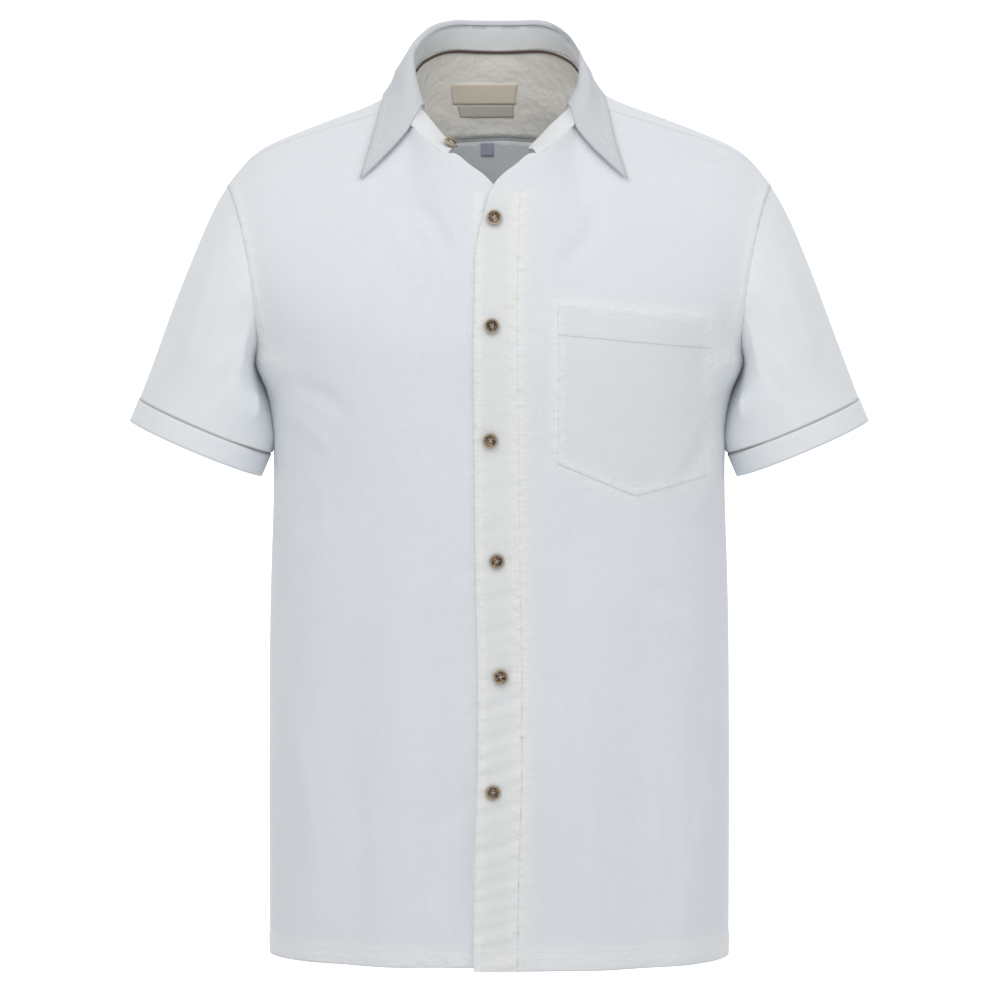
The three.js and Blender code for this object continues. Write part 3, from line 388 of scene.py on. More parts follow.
def new_material(name, roughness, sheen=0.0, **sockets):
    """A material with a Principled shader, its node tree and that shader."""
    material = bpy.data.materials.new(name)
    material.use_nodes = True
    shader = material.node_tree.nodes["Principled BSDF"]
    shader.inputs["Roughness"].default_value = roughness
    shader.inputs["Sheen Weight"].default_value = sheen
    for socket, value in sockets.items():
        shader.inputs[socket.replace("_", " ")].default_value = value
    return material, material.node_tree, shader


def streaks(tree, cloth, across, along, detail=2.0):
    """Uneven threads: a noise that changes fast across its threads and slowly along them."""
    scaled = add_node(tree, "ShaderNodeMapping", None, {"Vector": cloth, "Scale": (across, along, 1)})
    noise = {"Vector": scaled.outputs[0], "Scale": 1.0, "Detail": detail, "Roughness": 0.6}
    return add_node(tree, "ShaderNodeTexNoise", {"noise_dimensions": "2D"}, noise).outputs["Fac"]


def math_node(tree, operation, first, second):
    """Joins two values with one operation."""
    return add_node(tree, "ShaderNodeMath", {"operation": operation}, {0: first, 1: second}).outputs[0]


def mixed(tree, factor, first, second):
    """A colour that goes from the first to the second with the factor."""
    inputs = {"Factor": factor, "A": first, "B": second}
    return add_node(tree, "ShaderNodeMix", {"data_type": "RGBA"}, inputs).outputs["Result"]


def add_relief(tree, shader, strength, distance, height):
    """Lets a height shape the shader's surface; the distance is in metres."""
    inputs = {"Strength": strength, "Distance": distance, "Height": height}
    bump = add_node(tree, "ShaderNodeBump", None, inputs)
    tree.links.new(bump.outputs[0], shader.inputs["Normal"])


def washed_linen(name, light, shade, thread_mm, rumpled=1.0):
    """Washed plain-weave linen: matt, with uneven slubbed threads both ways and a soft bloom.

    Real linen has about 20 threads to the centimetre. They are drawn about twice as coarse here,
    so that they still show in a picture of the whole shirt."""
    material, tree, shader = new_material(name, 0.88, sheen=0.12, Sheen_Roughness=0.6)
    cloth = add_node(tree, "ShaderNodeUVMap", {"uv_map": "cloth"}).outputs[0]
    per_metre = 1000 / thread_mm
    slubs_per_metre = 1000 / SLUB_LENGTH
    weft = streaks(tree, cloth, slubs_per_metre, per_metre)
    warp = streaks(tree, cloth, per_metre, slubs_per_metre)
    threads = math_node(tree, "ADD", weft, warp)
    spread = {"Value": threads, "From Min": 0.6, "From Max": 1.4}
    shading = add_node(tree, "ShaderNodeMapRange", None, spread).outputs[0]
    blotch = streaks(tree, cloth, *BLOTCHES)
    halves = [math_node(tree, "MULTIPLY", value, 0.5) for value in (shading, blotch)]
    colour = mixed(tree, math_node(tree, "ADD", *halves), shade, light)
    # Cloth that is turned in and sewn double at a seam lets less show through; that whiter look is painted
    # light, mixed into the colour along the sewn lines
    pucker = add_node(tree, "ShaderNodeAttribute", {"attribute_name": "pucker"}).outputs["Fac"]
    seam_painted_light = math_node(tree, "MULTIPLY", pucker, SEWN_PAINTED_LIGHT)
    tree.links.new(mixed(tree, seam_painted_light, colour, linear("#f6f3ef")), shader.inputs["Base Color"])
    rumple = streaks(tree, cloth, *RUMPLES)
    pull = math_node(tree, "MULTIPLY", pucker, PUCKER_RELIEF)
    drawn_up = math_node(tree, "MULTIPLY", streaks(tree, cloth, *PULLS), pull)
    if rumpled > 1:
        crushed = math_node(tree, "MULTIPLY", streaks(tree, cloth, *CRUSHES), rumpled)
        rumple = math_node(tree, "ADD", rumple, crushed)
    woven = math_node(tree, "MULTIPLY", threads, THREAD_RELIEF)
    height = math_node(tree, "ADD", math_node(tree, "ADD", woven, rumple), drawn_up)
    add_relief(tree, shader, 0.45, LINEN_RELIEF, height)
    return material


def plain_cloth(name, colour, roughness, sheen, thread_mm):
    """A closely woven trim: even threads, so only a fine twill line shows in its surface."""
    material, tree, shader = new_material(name, roughness, sheen=sheen)
    cloth = add_node(tree, "ShaderNodeUVMap", {"uv_map": "cloth"}).outputs[0]
    shader.inputs["Base Color"].default_value = linear(colour)
    rib = {"Vector": cloth, "Scale": 1000 / thread_mm / 6.3, "Distortion": 0.4}
    wave = add_node(tree, "ShaderNodeTexWave", {"bands_direction": "DIAGONAL"}, rib).outputs["Fac"]
    add_relief(tree, shader, 0.3, 0.0002, wave)
    return material


def cad_cage(node):
    """A CAD node's solid as a cage of quads, its rims creased, ready to be made finer."""
    cage = bmesh.new()
    cage.from_mesh(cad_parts[node].data)
    bmesh.ops.remove_doubles(cage, verts=cage.verts, dist=0.01 * MM)
    bmesh.ops.join_triangles(
        cage, faces=cage.faces, angle_face_threshold=RIM_ANGLE, angle_shape_threshold=math.radians(150)
    )
    moves = {}
    for face in cage.faces:
        if min(edge.calc_length() for edge in face.edges) < THIN_RIM * MM:
            for vert in face.verts:
                moves[vert] = moves.get(vert, Vector()) + face.normal
    for vert, way in moves.items():
        vert.co += way.normalized() * RIM_REACH * MM
    crease = cage.edges.layers.float.new("crease_edge")
    for edge in cage.edges:
        edge[crease] = 1.0 if edge.calc_face_angle(0) > RIM_ANGLE else 0.0
    return cage


def placed(name, data):
    """An object with this data, linked into the scene."""
    made = bpy.data.objects.new(name, data)
    bpy.context.collection.objects.link(made)
    return made


def mesh_from(name, shape):
    """A mesh of an edited shape, which is freed."""
    mesh = bpy.data.meshes.new(name)
    shape.to_mesh(mesh)
    shape.free()
    return mesh


def modified_mesh(holder):
    """The mesh that an object's modifiers make."""
    return bpy.data.meshes.new_from_object(holder.evaluated_get(bpy.context.evaluated_depsgraph_get()))


def new_piece(name, mesh, material):
    """Links a mesh as a smooth piece with one material."""
    piece = placed(name, mesh)
    piece.data.materials.clear()
    piece.data.materials.append(material)
    piece.data.shade_smooth()
    piece.data.set_sharp_from_angle(angle=RIM_ANGLE)
    return piece


def subdivided(name, cage, levels):
    """The cage's smooth surface as a mesh, with no modifier left on it."""
    mesh = mesh_from(name, cage)
    holder = placed(name + "_cage", mesh)
    finer = holder.modifiers.new("finer", "SUBSURF")
    finer.levels = finer.render_levels = levels
    made = modified_mesh(holder)
    bpy.data.objects.remove(holder)
    bpy.data.meshes.remove(mesh)
    made.name = name
    return made


def points_of(mesh):
    """A mesh's vertices in millimetres."""
    flat = np.empty(len(mesh.vertices) * 3)
    mesh.vertices.foreach_get("co", flat)
    return flat.reshape(-1, 3) / MM


def set_points(mesh, points):
    mesh.vertices.foreach_set("co", (points * MM).ravel())
    mesh.update()


def smoothstep(value, low, high):
    share = np.clip((value - low) / (high - low), 0, 1)
    return share * share * (3 - 2 * share)


def bell(away, reach):
    """1 at no distance away, falling softly to about 0 at twice the reach."""
    return np.exp(-((away / reach) ** 2))


def unit_rows(ways):
    """Directions made one long; a row of zeros stays as it is."""
    return ways / (np.linalg.norm(ways, axis=1, keepdims=True) + 1e-9)


def unevenness(points, seed, wave_mm=(38, 130), waves=14):
    """A soft, repeatable rise and fall of up to about 1 mm, as cloth that was only smoothed by hand."""
    draw = random.Random(seed)
    total = np.zeros(len(points))
    for _ in range(waves):
        length = draw.uniform(*wave_mm)
        way = Vector((draw.gauss(0, 1), draw.gauss(0, 1), draw.gauss(0, 0.6))).normalized()
        phase = draw.uniform(*PHASES)
        total += length / wave_mm[1] * np.sin(2 * math.pi / length * (points @ np.array(way)) + phase)
    return total / waves * UNEVEN_HEIGHT


def ridge(across, along, length, width):
    """1 on the middle of a crease, fading to 0 at its sides and ends."""
    side = np.clip(np.abs(across) / width, 0, 1)
    end = np.clip(along / length, 0, 1)
    return (1 - side**2) ** 2 * np.sin(math.pi * end) ** 0.8


def crease_row(points, face, start, end, width, depth):
    """One crease of the body, seen from the front or the back."""
    way = np.subtract(end, start)
    length = math.hypot(*way)
    way = way / length
    from_start = points[:, [0, 2]] - start
    along = from_start @ way
    bend = np.sin(math.pi * np.clip(along / length, 0, 1)) * width * 0.5
    across = from_start @ np.array([-way[1], way[0]]) - bend
    side = points[:, 1] < MIDDLE_Y if face < 0 else points[:, 1] > MIDDLE_Y
    return depth * ridge(across, along, length, width) * side


def armhole_x(z):
    return np.interp(z, ARMHOLE_Z, ARMHOLE_X)


def sway_at(z):
    return np.interp(z, SWAY_Z, SWAY_X)


def body_ease(points):
    """How far the body's cloth moves out from its solid. Its creases end at every seam."""
    x, y, z = points.T
    total = unevenness(points, SEEDS["body"])
    for face, creases in ((-1, FRONT_CREASES), (1, BACK_CREASES)):
        for x1, z1, x2, z2, width, depth in creases:
            total += crease_row(points, face, (x1, z1), (x2, z2), width, depth)
    edge = np.abs(x) - armhole_x(z)
    off_side = smoothstep(np.abs(y - MIDDLE_Y), *SIDE_FADE)
    off_armhole = 1 - smoothstep(edge, *ARMHOLE_FADE) * (z > ARMHOLE_Z[0] - ARMHOLE_MARGIN)
    off_neck = 1 - smoothstep(z, *NECK_FADE) * (1 - smoothstep(np.abs(x), *SHOULDER_FADE))
    # The armhole's seam allowance lies under a topstitched band of the body
    band = smoothstep(edge, *BAND_INNER) * (1 - smoothstep(edge, *BAND_OUTER))
    band = band * (z > ARMHOLE_Z[0]) * (z < SEWN_TOP)
    # The side fills out where it meets the sleeve, just under the arm
    fill = UNDERARM_FILL * bell(z - UNDERARM_Z, UNDERARM_REACH)
    fill = fill * smoothstep(np.abs(x), *UNDERARM_X) * smoothstep(-y, *UNDERARM_Y)
    hem = HEM_RISE * (1 - smoothstep(z, HEM_Z + HEM_HEIGHT - 1, HEM_Z + HEM_HEIGHT + 3))
    eased = total * off_side * off_armhole * off_neck + BAND_RISE * band + fill + hem
    outward = np.stack([x / TORSO_ROUND[0] ** 2, (y - MIDDLE_Y) / TORSO_ROUND[1] ** 2, 0 * z], 1)
    return unit_rows(outward) * eased[:, None]


def pucker_at(points):
    """How close each point lies to a sewn line, from 0 to 1: there the linen draws up a little."""
    x, y, z = points.T
    lines = []

    def sewn(pucker, away, where=1):
        strength, reach = pucker
        lines.append(strength * where * bell(away, reach))

    for at, reach in STRIP_PUCKERS:
        sewn((1, reach), x - sway_at(z) - at, (y < FRONT_Y) & (z < SEWN_TOP))
    sewn(HEM_PUCKER, z - HEM_Z - HEM_HEIGHT / 2)
    sewn(ARMHOLE_PUCKER, np.abs(x) - armhole_x(z) + ARMHOLE_PUCKER_IN, z > ARMHOLE_Z[0])
    seam_x, seam_z = zip(*YOKE_SEAM)
    sewn(YOKE_PUCKER, z - np.interp(x, seam_x, seam_z), y > MIDDLE_Y)
    corners = np.array(POCKET)
    for a, b in zip(corners, np.roll(corners, -1, 0)):
        length = np.linalg.norm(b - a)
        way = (b - a) / length
        from_a = points[:, [0, 2]] - a
        along = np.clip(from_a @ way, 0, length)
        sewn(POCKET_PUCKER, np.linalg.norm(from_a - along[:, None] * way, axis=1), y < FRONT_Y)
    return np.max(lines, 0)


def mark_pucker(mesh):
    values = mesh.attributes.new("pucker", "FLOAT", "POINT")
    values.data.foreach_set("value", pucker_at(points_of(mesh)))


def side_of(points):
    """1 for a piece on the wearer's left, and -1 on the right."""
    return math.copysign(1, points[:, 0].mean())


def arm_line(points):
    """The direction up the sleeve on the side where its points lie."""
    return np.array([-math.sin(ARM_ANGLE) * side_of(points), 0, math.cos(ARM_ANGLE)])


def sleeve_places(points):
    """Degrees round a sleeve, millimetres up from its cuff, and its outward directions."""
    side = side_of(points)
    down = -arm_line(points)
    inward = np.array([-math.cos(ARM_ANGLE) * side, 0, -math.sin(ARM_ANGLE)])
    away = points - np.array([CUFF_CENTRE[0] * side, CUFF_CENTRE[1], CUFF_CENTRE[2]])
    up = -(away @ down)
    radial = unit_rows(away + up[:, None] * down)
    round_it = np.degrees(np.arctan2(-radial[:, 1], radial @ inward)) % 360
    return round_it, up, radial


def sleeve_ease(points):
    """How far a sleeve's cloth moves out from its solid."""
    round_it, up, radial = sleeve_places(points)
    total = unevenness(points, SEEDS["sleeve"]) * SLEEVE_UNEVEN
    for degrees, low, high, drift, width, depth in SLEEVE_CREASES:
        centre = degrees + drift * np.clip((up - low) / (high - low), 0, 1)
        across = (round_it - centre + 180) % 360 - 180
        total += depth * ridge(np.radians(across) * CUFF_RADIUS, up - low, high - low, width)
    edge = np.abs(points[:, 0]) - armhole_x(points[:, 2])
    off_seams = total * smoothstep(edge, *SLEEVE_TOP_FADE) * smoothstep(up, *CUFF_FADE)
    # The underarm hangs against the body's side, and its front corner laps over it a little
    down = -points[:, 2]
    hung = UNDERARM_HANG * (smoothstep(down, *HANG_START) * (1 - smoothstep(down, *HANG_END)))
    hung = hung * bell(np.abs((round_it + 180) % 360 - 180) - HANG_CENTRE, HANG_REACH)
    # Its cap closes on the armhole's seam
    shut = ARMHOLE_CLOSE * (1 - smoothstep(edge, *CAP_FADE)) * (points[:, 2] > ARMHOLE_Z[0])
    eased = radial * off_seams[:, None] - np.array([side_of(points), 0, 0]) * (hung + shut)[:, None]
    return eased - arm_line(points) * (PIPING_CLOSE * (1 - smoothstep(up, *PIPING_FADE)))[:, None]


def band_ease(points):
    """The band's top edge closes on the piping."""
    _, up, _ = sleeve_places(points)
    near, far = PIPING_FADE
    return arm_line(points) * (PIPING_CLOSE * smoothstep(up, -far, -near))[:, None]


def cord_ease(points):
    """The piping sinks between the sleeve and its band."""
    _, _, radial = sleeve_places(points)
    return -PIPING_SUNK * radial


def neck_cord_ease(points):
    """The neck's piping sinks into its seam, and deeper at both ends."""
    x, y, z = points.T
    away = unit_rows(np.stack([x, y - MIDDLE_Y, 0 * z], 1))
    sunk = NECK_PIPING_SUNK + NECK_PIPING_ADDED * smoothstep(np.abs(x), *NECK_PIPING_ENDS)
    return away * sunk[:, None]


def collar_ease(points):
    """The collar's leaf rises and falls a little, and not at all at its fold."""
    x, y, z = points.T
    free = smoothstep(-z, *LEAF_FADE)
    around = unit_rows(np.stack([x, y * LEAF_OVAL, 0 * z], 1))
    return around * (unevenness(points, SEEDS["collar"], LEAF_WAVES) * LEAF_UNEVEN * free)[:, None]


def flat_places(points, name):
    """Where each point lies on its flat cloth, across and along, and how far once round is."""
    if name.startswith("sleeve"):
        round_it, up, _ = sleeve_places(points)
        return np.radians(round_it) * CUFF_RADIUS, up, 2 * math.pi * CUFF_RADIUS
    x, y, z = points[:, 0], points[:, 1] - MIDDLE_Y, points[:, 2]
    if name.startswith("collar"):
        return np.arctan2(x, y) * NECK_RADIUS, z, 2 * math.pi * NECK_RADIUS
    away = -y if name.startswith("front") or name in ("placket", "pocket") else y
    turn = np.arctan2(x / TORSO_ROUND[0], away / TORSO_ROUND[1])
    # The cloth goes on over the shoulder, where it lies nearly level
    over = np.where(np.abs(y) < SHOULDER_DEPTH, (SHOULDER_DEPTH - np.abs(y)) * (z > SHOULDER_Z), 0)
    return turn * TORSO_TURN, z + over, 2 * math.pi * TORSO_TURN


def lay_out(mesh, name):
    """Writes the cloth's flat layout, in metres, as the UV map that the weave reads."""
    across, along, turn = flat_places(points_of(mesh), name)
    loops = np.empty(len(mesh.loops), int)
    mesh.loops.foreach_get("vertex_index", loops)
    starts = np.empty(len(mesh.polygons), int)
    sizes = np.empty(len(mesh.polygons), int)
    mesh.polygons.foreach_get("loop_start", starts)
    mesh.polygons.foreach_get("loop_total", sizes)
    first = np.repeat(across[loops[starts]], sizes)
    here = across[loops]
    here = here - turn * np.round((here - first) / turn)
    layout = mesh.uv_layers.new(name="cloth")
    layout.data.foreach_set("uv", (np.stack([here, along[loops]], 1) * MM).ravel())


def skin_patch(fine, cuts, lift, thickness, sways=0.0):
    """A layer of cloth on the outside of the left front, cut straight along lines in x and z.

    Each cut is a point and the direction, in x and z, of what is cut away. The lines move with
    the share `sways` of the front edge's own sway."""
    patch = bmesh.new()
    patch.from_mesh(fine)
    bmesh.ops.delete(patch, geom=[f for f in patch.faces if f.normal.y > FORWARD], context="FACES")

    def slide(share):
        for vert in patch.verts:
            vert.co.x += share * float(sway_at(vert.co.z / MM)) * MM

    slide(-sways)
    for (x, z), (to_x, to_z) in cuts:
        bmesh.ops.bisect_plane(
            patch,
            geom=patch.verts[:] + patch.edges[:] + patch.faces[:],
            plane_co=(x * MM, 0, z * MM),
            plane_no=(to_x, 0, to_z),
            clear_outer=True,
        )
    slide(sways)
    patch.normal_update()
    for vert in patch.verts:
        vert.co += vert.normal * lift * MM
    patch.normal_update()
    made = bmesh.ops.extrude_face_region(patch, geom=patch.faces[:], use_keep_orig=True)["geom"]
    outer = {v for v in made if isinstance(v, bmesh.types.BMVert)}
    for vert in patch.verts:
        if vert in outer:
            vert.co += vert.normal * thickness * MM
    bmesh.ops.recalc_face_normals(patch, faces=patch.faces[:])
    return patch


def outline_cuts(corners):
    """Cuts along a convex outline whose corners run clockwise as seen from the front."""
    cuts = []
    for (x1, z1), (x2, z2) in zip(corners, corners[1:] + corners[:1]):
        cuts.append(((x1, z1), (-(z2 - z1), x2 - x1)))
    return cuts


# How each piece eases, by how its name begins; the others ease as the body does
EASES = {
    "sleeve_band": band_ease,
    "sleeve_piping": cord_ease,
    "sleeve": sleeve_ease,
    "collar_leaf": collar_ease,
    "collar_stand": None,
    "neck_piping": neck_cord_ease,
}


def ease_of(name):
    return next((ease for begins, ease in EASES.items() if name.startswith(begins)), body_ease)


def neck_lie(name, points):
    """How the cloth round the neck moves as the shirt is worn open at the top."""
    x, y, z = points.T
    out = np.abs(x)
    is_leaf = name == "collar_leaf"

    def moved(heights, moves):
        right, left = (np.interp(z, heights, row) for row in moves)
        return (right + left) / 2 + (left - right) / 2 * np.clip(x / NECK_HALF, -1, 1)

    across = moved(NECK_Z, NECK_MOVE)
    if is_leaf:
        inside = np.interp(z, LEAF_SIDE_Z, LEAF_INSIDE)
        outside = np.interp(z, LEAF_SIDE_Z, LEAF_OUTSIDE)
        share = np.clip((out - inside) / (outside - inside), 0, 1)
        across += share * (moved(LEAF_Z, LEAF_MOVE) - across)
    else:
        across *= 1 - smoothstep(out, *SHOULDERS)
    across *= np.where(y > 0, smoothstep(z, *NAPE), 1)
    # The chest bulges, so a collar point that moves across it also comes forward
    forward = np.where(x > 0, across, 0) * smoothstep(out, *POINT_X) * POINT_FORWARD
    forward = forward * is_leaf * (y < POINT_Y)
    lift = FRONT_LIFT * bell(out - LIFT_X, LIFT_REACH)
    lift = lift * smoothstep(z, *LIFT_Z) * smoothstep(-y, *LIFT_Y)
    return np.stack([across, forward, lift], 1)


def eased_points(name, points):
    """The points of a piece after its cloth has eased and creased."""
    ease = ease_of(name)
    return points + neck_lie(name, points) + (ease(points) if ease else 0)


def placket_ease(points):
    """Slanting wrinkles that the buttons pull across the placket, deeper towards the hem."""
    x, _, z = points.T
    depth = WRINKLE_DEPTH + WRINKLE_ADDED * smoothstep(-z, *WRINKLE_Z)
    slant = z * WRINKLE_SLANT[0] - x * WRINKLE_SLANT[1]
    fine = np.sin(slant / FINE_WAVE + FINE_WANDER[0] * np.sin(z / FINE_WANDER[1]))
    broken = np.sin(slant / BREAK_WAVES[0] + z / BREAK_WAVES[1])
    share, tilt, length = CROSS_WAVE
    waves = fine * broken + share * np.sin((z - x * tilt) / length)
    return np.stack([0 * x, -depth * (0.5 + 0.8 * waves), 0 * x], 1)


def close_on(mesh, other, reach):
    """Draws the points of a mesh that lie within reach of another piece onto it."""
    tree = tree_of(other)
    for vert in mesh.vertices:
        place, _, _, away = tree.find_nearest(vert.co)
        if away < reach * MM:
            vert.co = vert.co.lerp(place, float(smoothstep(reach - away / MM, 0, reach * CLOSE_FADE)))


def cloth_piece(name, material):
    """One cut piece: its solid made fine, creased and laid out, in place of its CAD node."""
    flat, area, rests_on, levels = CLOTH_PIECES[name]
    mesh = subdivided(name + "_cloth", cad_cage(name), levels)
    set_points(mesh, eased_points(name, points_of(mesh)))
    lay_out(mesh, name)
    mark_pucker(mesh)
    if name == "collar_stand":
        close_on(mesh, "collar_leaf_cloth", STAND_CLOSE)
    piece = new_piece(name + "_cloth", mesh, material)
    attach(piece, "root")
    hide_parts(name)
    return piece


def colour_setting(name, description, value):
    """A setting that holds a colour."""
    look = {"subtype": "COLOR", "size": 4, "min": 0, "max": 1, "default": linear(value)}
    return FloatVectorProperty(name=name, description=description, **look)


def number_setting(name, description, default, low, high, **more):
    """A setting that holds a number."""
    return FloatProperty(name=name, description=description, default=default, min=low, max=high, **more)


class ShirtCloth(bpy.types.PropertyGroup):
    light: colour_setting("Linen", "Colour of the linen", "#e6eaee")
    shade: colour_setting("Slubs", "Colour between its threads", "#dce0e5")
    thread: number_setting("Thread", "Spacing of the drawn threads, in millimetres", 0.8, 0.4, 3)


class ShirtStage(bpy.types.PropertyGroup):
    distance: number_setting("Distance", "How far the camera stands", 6.0, 1, 20, unit="LENGTH")
    look_down: FloatProperty(
        name="Look down",
        description="How far down the camera looks",
        default=math.radians(4),
        subtype="ANGLE",
        unit="ROTATION",
    )
    lens: number_setting("Lens", "Focal length in millimetres", 263, 20, 600)
    light: number_setting("Light", "Strength of the soft room light", 0.59, 0, 5)
    key: number_setting("Key", "Main soft light", 15, 0, 500, unit="POWER")
    fill: number_setting("Fill", "Second soft light", 8.5, 0, 500, unit="POWER")


def patch_piece(name, patches, material):
    """Joins patches into one piece in place of their CAD node."""
    joined = bmesh.new()
    for patch in patches:
        mesh = mesh_from("patch", patch)
        joined.from_mesh(mesh)
        bpy.data.meshes.remove(mesh)
    if name == "placket":
        for _ in range(WRINKLE_HALVINGS):
            long_edges = [edge for edge in joined.edges if edge.calc_length() > WRINKLE_MESH * MM]
            bmesh.ops.subdivide_edges(joined, edges=long_edges, cuts=1, use_grid_fill=True)
    mesh = mesh_from(name + "_cloth", joined)
    if name == "placket":
        points = points_of(mesh)
        set_points(mesh, points + placket_ease(points))
    lay_out(mesh, name)
    mark_pucker(mesh)
    piece = new_piece(name + "_cloth", mesh, material)
    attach(piece, "root")
    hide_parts(name)
    return piece


def trim_piece(name, material, slot, levels):
    """A label, tab or cord: its solid made smooth, moved with the cloth that carries it."""
    mesh = subdivided(name + "_trim", cad_cage(name), levels)
    settle = LABEL_SETTLE if slot in ("label", "tab") else 0
    set_points(mesh, eased_points(name, points_of(mesh)) + np.array([0, settle, 0]))
    lay_out(mesh, name)
    piece = new_piece(name + "_trim", mesh, material)
    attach(piece, "root")
    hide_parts(name)
    return piece


def tree_of(*names):
    """A ray-casting tree of the named pieces' meshes."""
    verts, faces = [], []
    for name in names:
        mesh = bpy.data.objects[name].data
        start = len(verts)
        verts.extend(v.co for v in mesh.vertices)
        faces.extend([start + i for i in p.vertices] for p in mesh.polygons)
    return BVHTree.FromPolygons(verts, faces)


def cast_path(tree, rays):
    """Where rays, as starts and directions in millimetres, meet the cloth, and its normals there."""
    found = []
    for start, way in rays:
        place, normal, _, _ = tree.ray_cast(Vector(start) * MM, Vector(way).normalized())
        if place is not None:
            found.append((place, normal if normal.dot(Vector(way)) < 0 else -normal))
    return found


def front_rays(path, face=-1):
    """Rays onto the front (or, with a face of 1, the back) along a path of x and z, 1 mm apart."""
    rays = []
    for (x1, z1), (x2, z2) in zip(path, path[1:]):
        count = max(1, round(math.hypot(x2 - x1, z2 - z1)))
        for i in range(count):
            t = i / count
            start = (x1 + (x2 - x1) * t, face * RAY_START, z1 + (z2 - z1) * t)
            rays.append((start, (0, -face, 0)))
    return rays


def hem_rays():
    """Rays onto the body from all round, along the top of its hem."""
    rays = []
    wide, deep = HEM_OVAL
    for i in range(HEM_RAYS + 1):
        a = 2 * math.pi * i / HEM_RAYS
        start = (wide * math.sin(a), MIDDLE_Y - deep * math.cos(a), HEM_Z + HEM_HEIGHT)
        rays.append((start, (-math.sin(a), math.cos(a) * (deep / wide), 0)))
    return rays


def pocket_rows():
    """Lines of stitches: two round the pocket's sides and foot, and one along its band."""
    middle = np.mean(POCKET, 0)
    rows = []
    for inset in POCKET_INSETS:
        shrunk = [tuple(np.array(corner) + (middle - corner) * inset) for corner in POCKET]
        rows.append([shrunk[i] for i in (0, 4, 3, 2, 1)])
    ends = zip(POCKET, (POCKET_ROW_IN, -POCKET_ROW_IN))
    rows.append([(x + inward, z - POCKET_BAND + POCKET_ROW_RISE) for (x, z), inward in ends])
    return rows


def stitches(name, paths):
    """Rows of stitches along places on the cloth, as one piece of short spindles of thread."""
    rows = bmesh.new()
    for path in paths:
        run = 0.0
        for (here, up), (there, _) in zip(path, path[1:]):
            step = (there - here).length / MM
            run += step
            if step > ROW_GAP or run < STITCH_PITCH:
                run = 0.0 if step > ROW_GAP else run
                continue
            run -= STITCH_PITCH
            along = (there - here).normalized()
            across = along.cross(up).normalized()
            centre = here + up * THREAD_RADIUS * THREAD_RAISED * MM
            loops = []
            for share, wide in THREAD_RINGS:
                loops.append([
                    rows.verts.new(
                        centre
                        + along * share * STITCH * MM
                        + (across * math.cos(a) + up * math.sin(a)) * wide * THREAD_RADIUS * MM
                    )
                    for a in (k * math.pi / 3 for k in range(6))
                ])
            for low, high in zip(loops, loops[1:]):
                for k in range(6):
                    rows.faces.new((low[k], low[(k + 1) % 6], high[(k + 1) % 6], high[k]))
            rows.faces.new(reversed(loops[0]))
            rows.faces.new(loops[-1])
    bmesh.ops.recalc_face_normals(rows, faces=rows.faces[:])
    piece = new_piece(name, mesh_from(name, rows), cotton_thread())
    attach(piece, "root")
    return piece


def cotton_thread():
    """Mercerised cotton sewing thread: smoother than the linen, so that it glints a little."""
    made = bpy.data.materials.get("cotton_thread")
    if made:
        return made
    material, _, shader = new_material("cotton_thread", 0.55, sheen=0.3)
    shader.inputs["Base Color"].default_value = linear("#e9ebec")
    return material


def horn():
    """Polished horn: brown and amber streaks under a hard gloss, paler at the turned rim."""
    material, tree, shader = new_material("polished_horn", 0.28, Coat_Weight=0.35, Coat_Roughness=0.12)
    place = add_node(tree, "ShaderNodeAttribute", {"attribute_name": "button_place"}).outputs["Vector"]
    streak = add_node(tree, "ShaderNodeMapping", None, {"Vector": place, "Scale": (260, 900, 300)})
    grain = {"Vector": streak.outputs[0], "Scale": 1.0, "Detail": 3.0}
    noise = add_node(tree, "ShaderNodeTexNoise", None, grain).outputs["Fac"]
    ramp = add_node(tree, "ShaderNodeValToRGB", None, {"Fac": noise})
    dark, pale = ramp.color_ramp.elements
    dark.position, dark.color = 0.36, linear("#2c1c12")
    pale.position, pale.color = 0.66, linear("#a98c66")
    ramp.color_ramp.elements.new(0.5).color = linear("#5b3f28")
    rim = add_node(tree, "ShaderNodeAttribute", {"attribute_name": "rim"}).outputs["Fac"]
    tree.links.new(mixed(tree, rim, ramp.outputs[0], linear("#b8ab95")), shader.inputs["Base Color"])
    return material


def add_rod(shape, radius, depth, segments, place):
    """Adds a round rod to a shape; its sizes are in millimetres."""
    bmesh.ops.create_cone(
        shape,
        cap_ends=True,
        segments=segments,
        radius1=radius * MM,
        radius2=radius * MM,
        depth=depth * MM,
        matrix=place,
    )


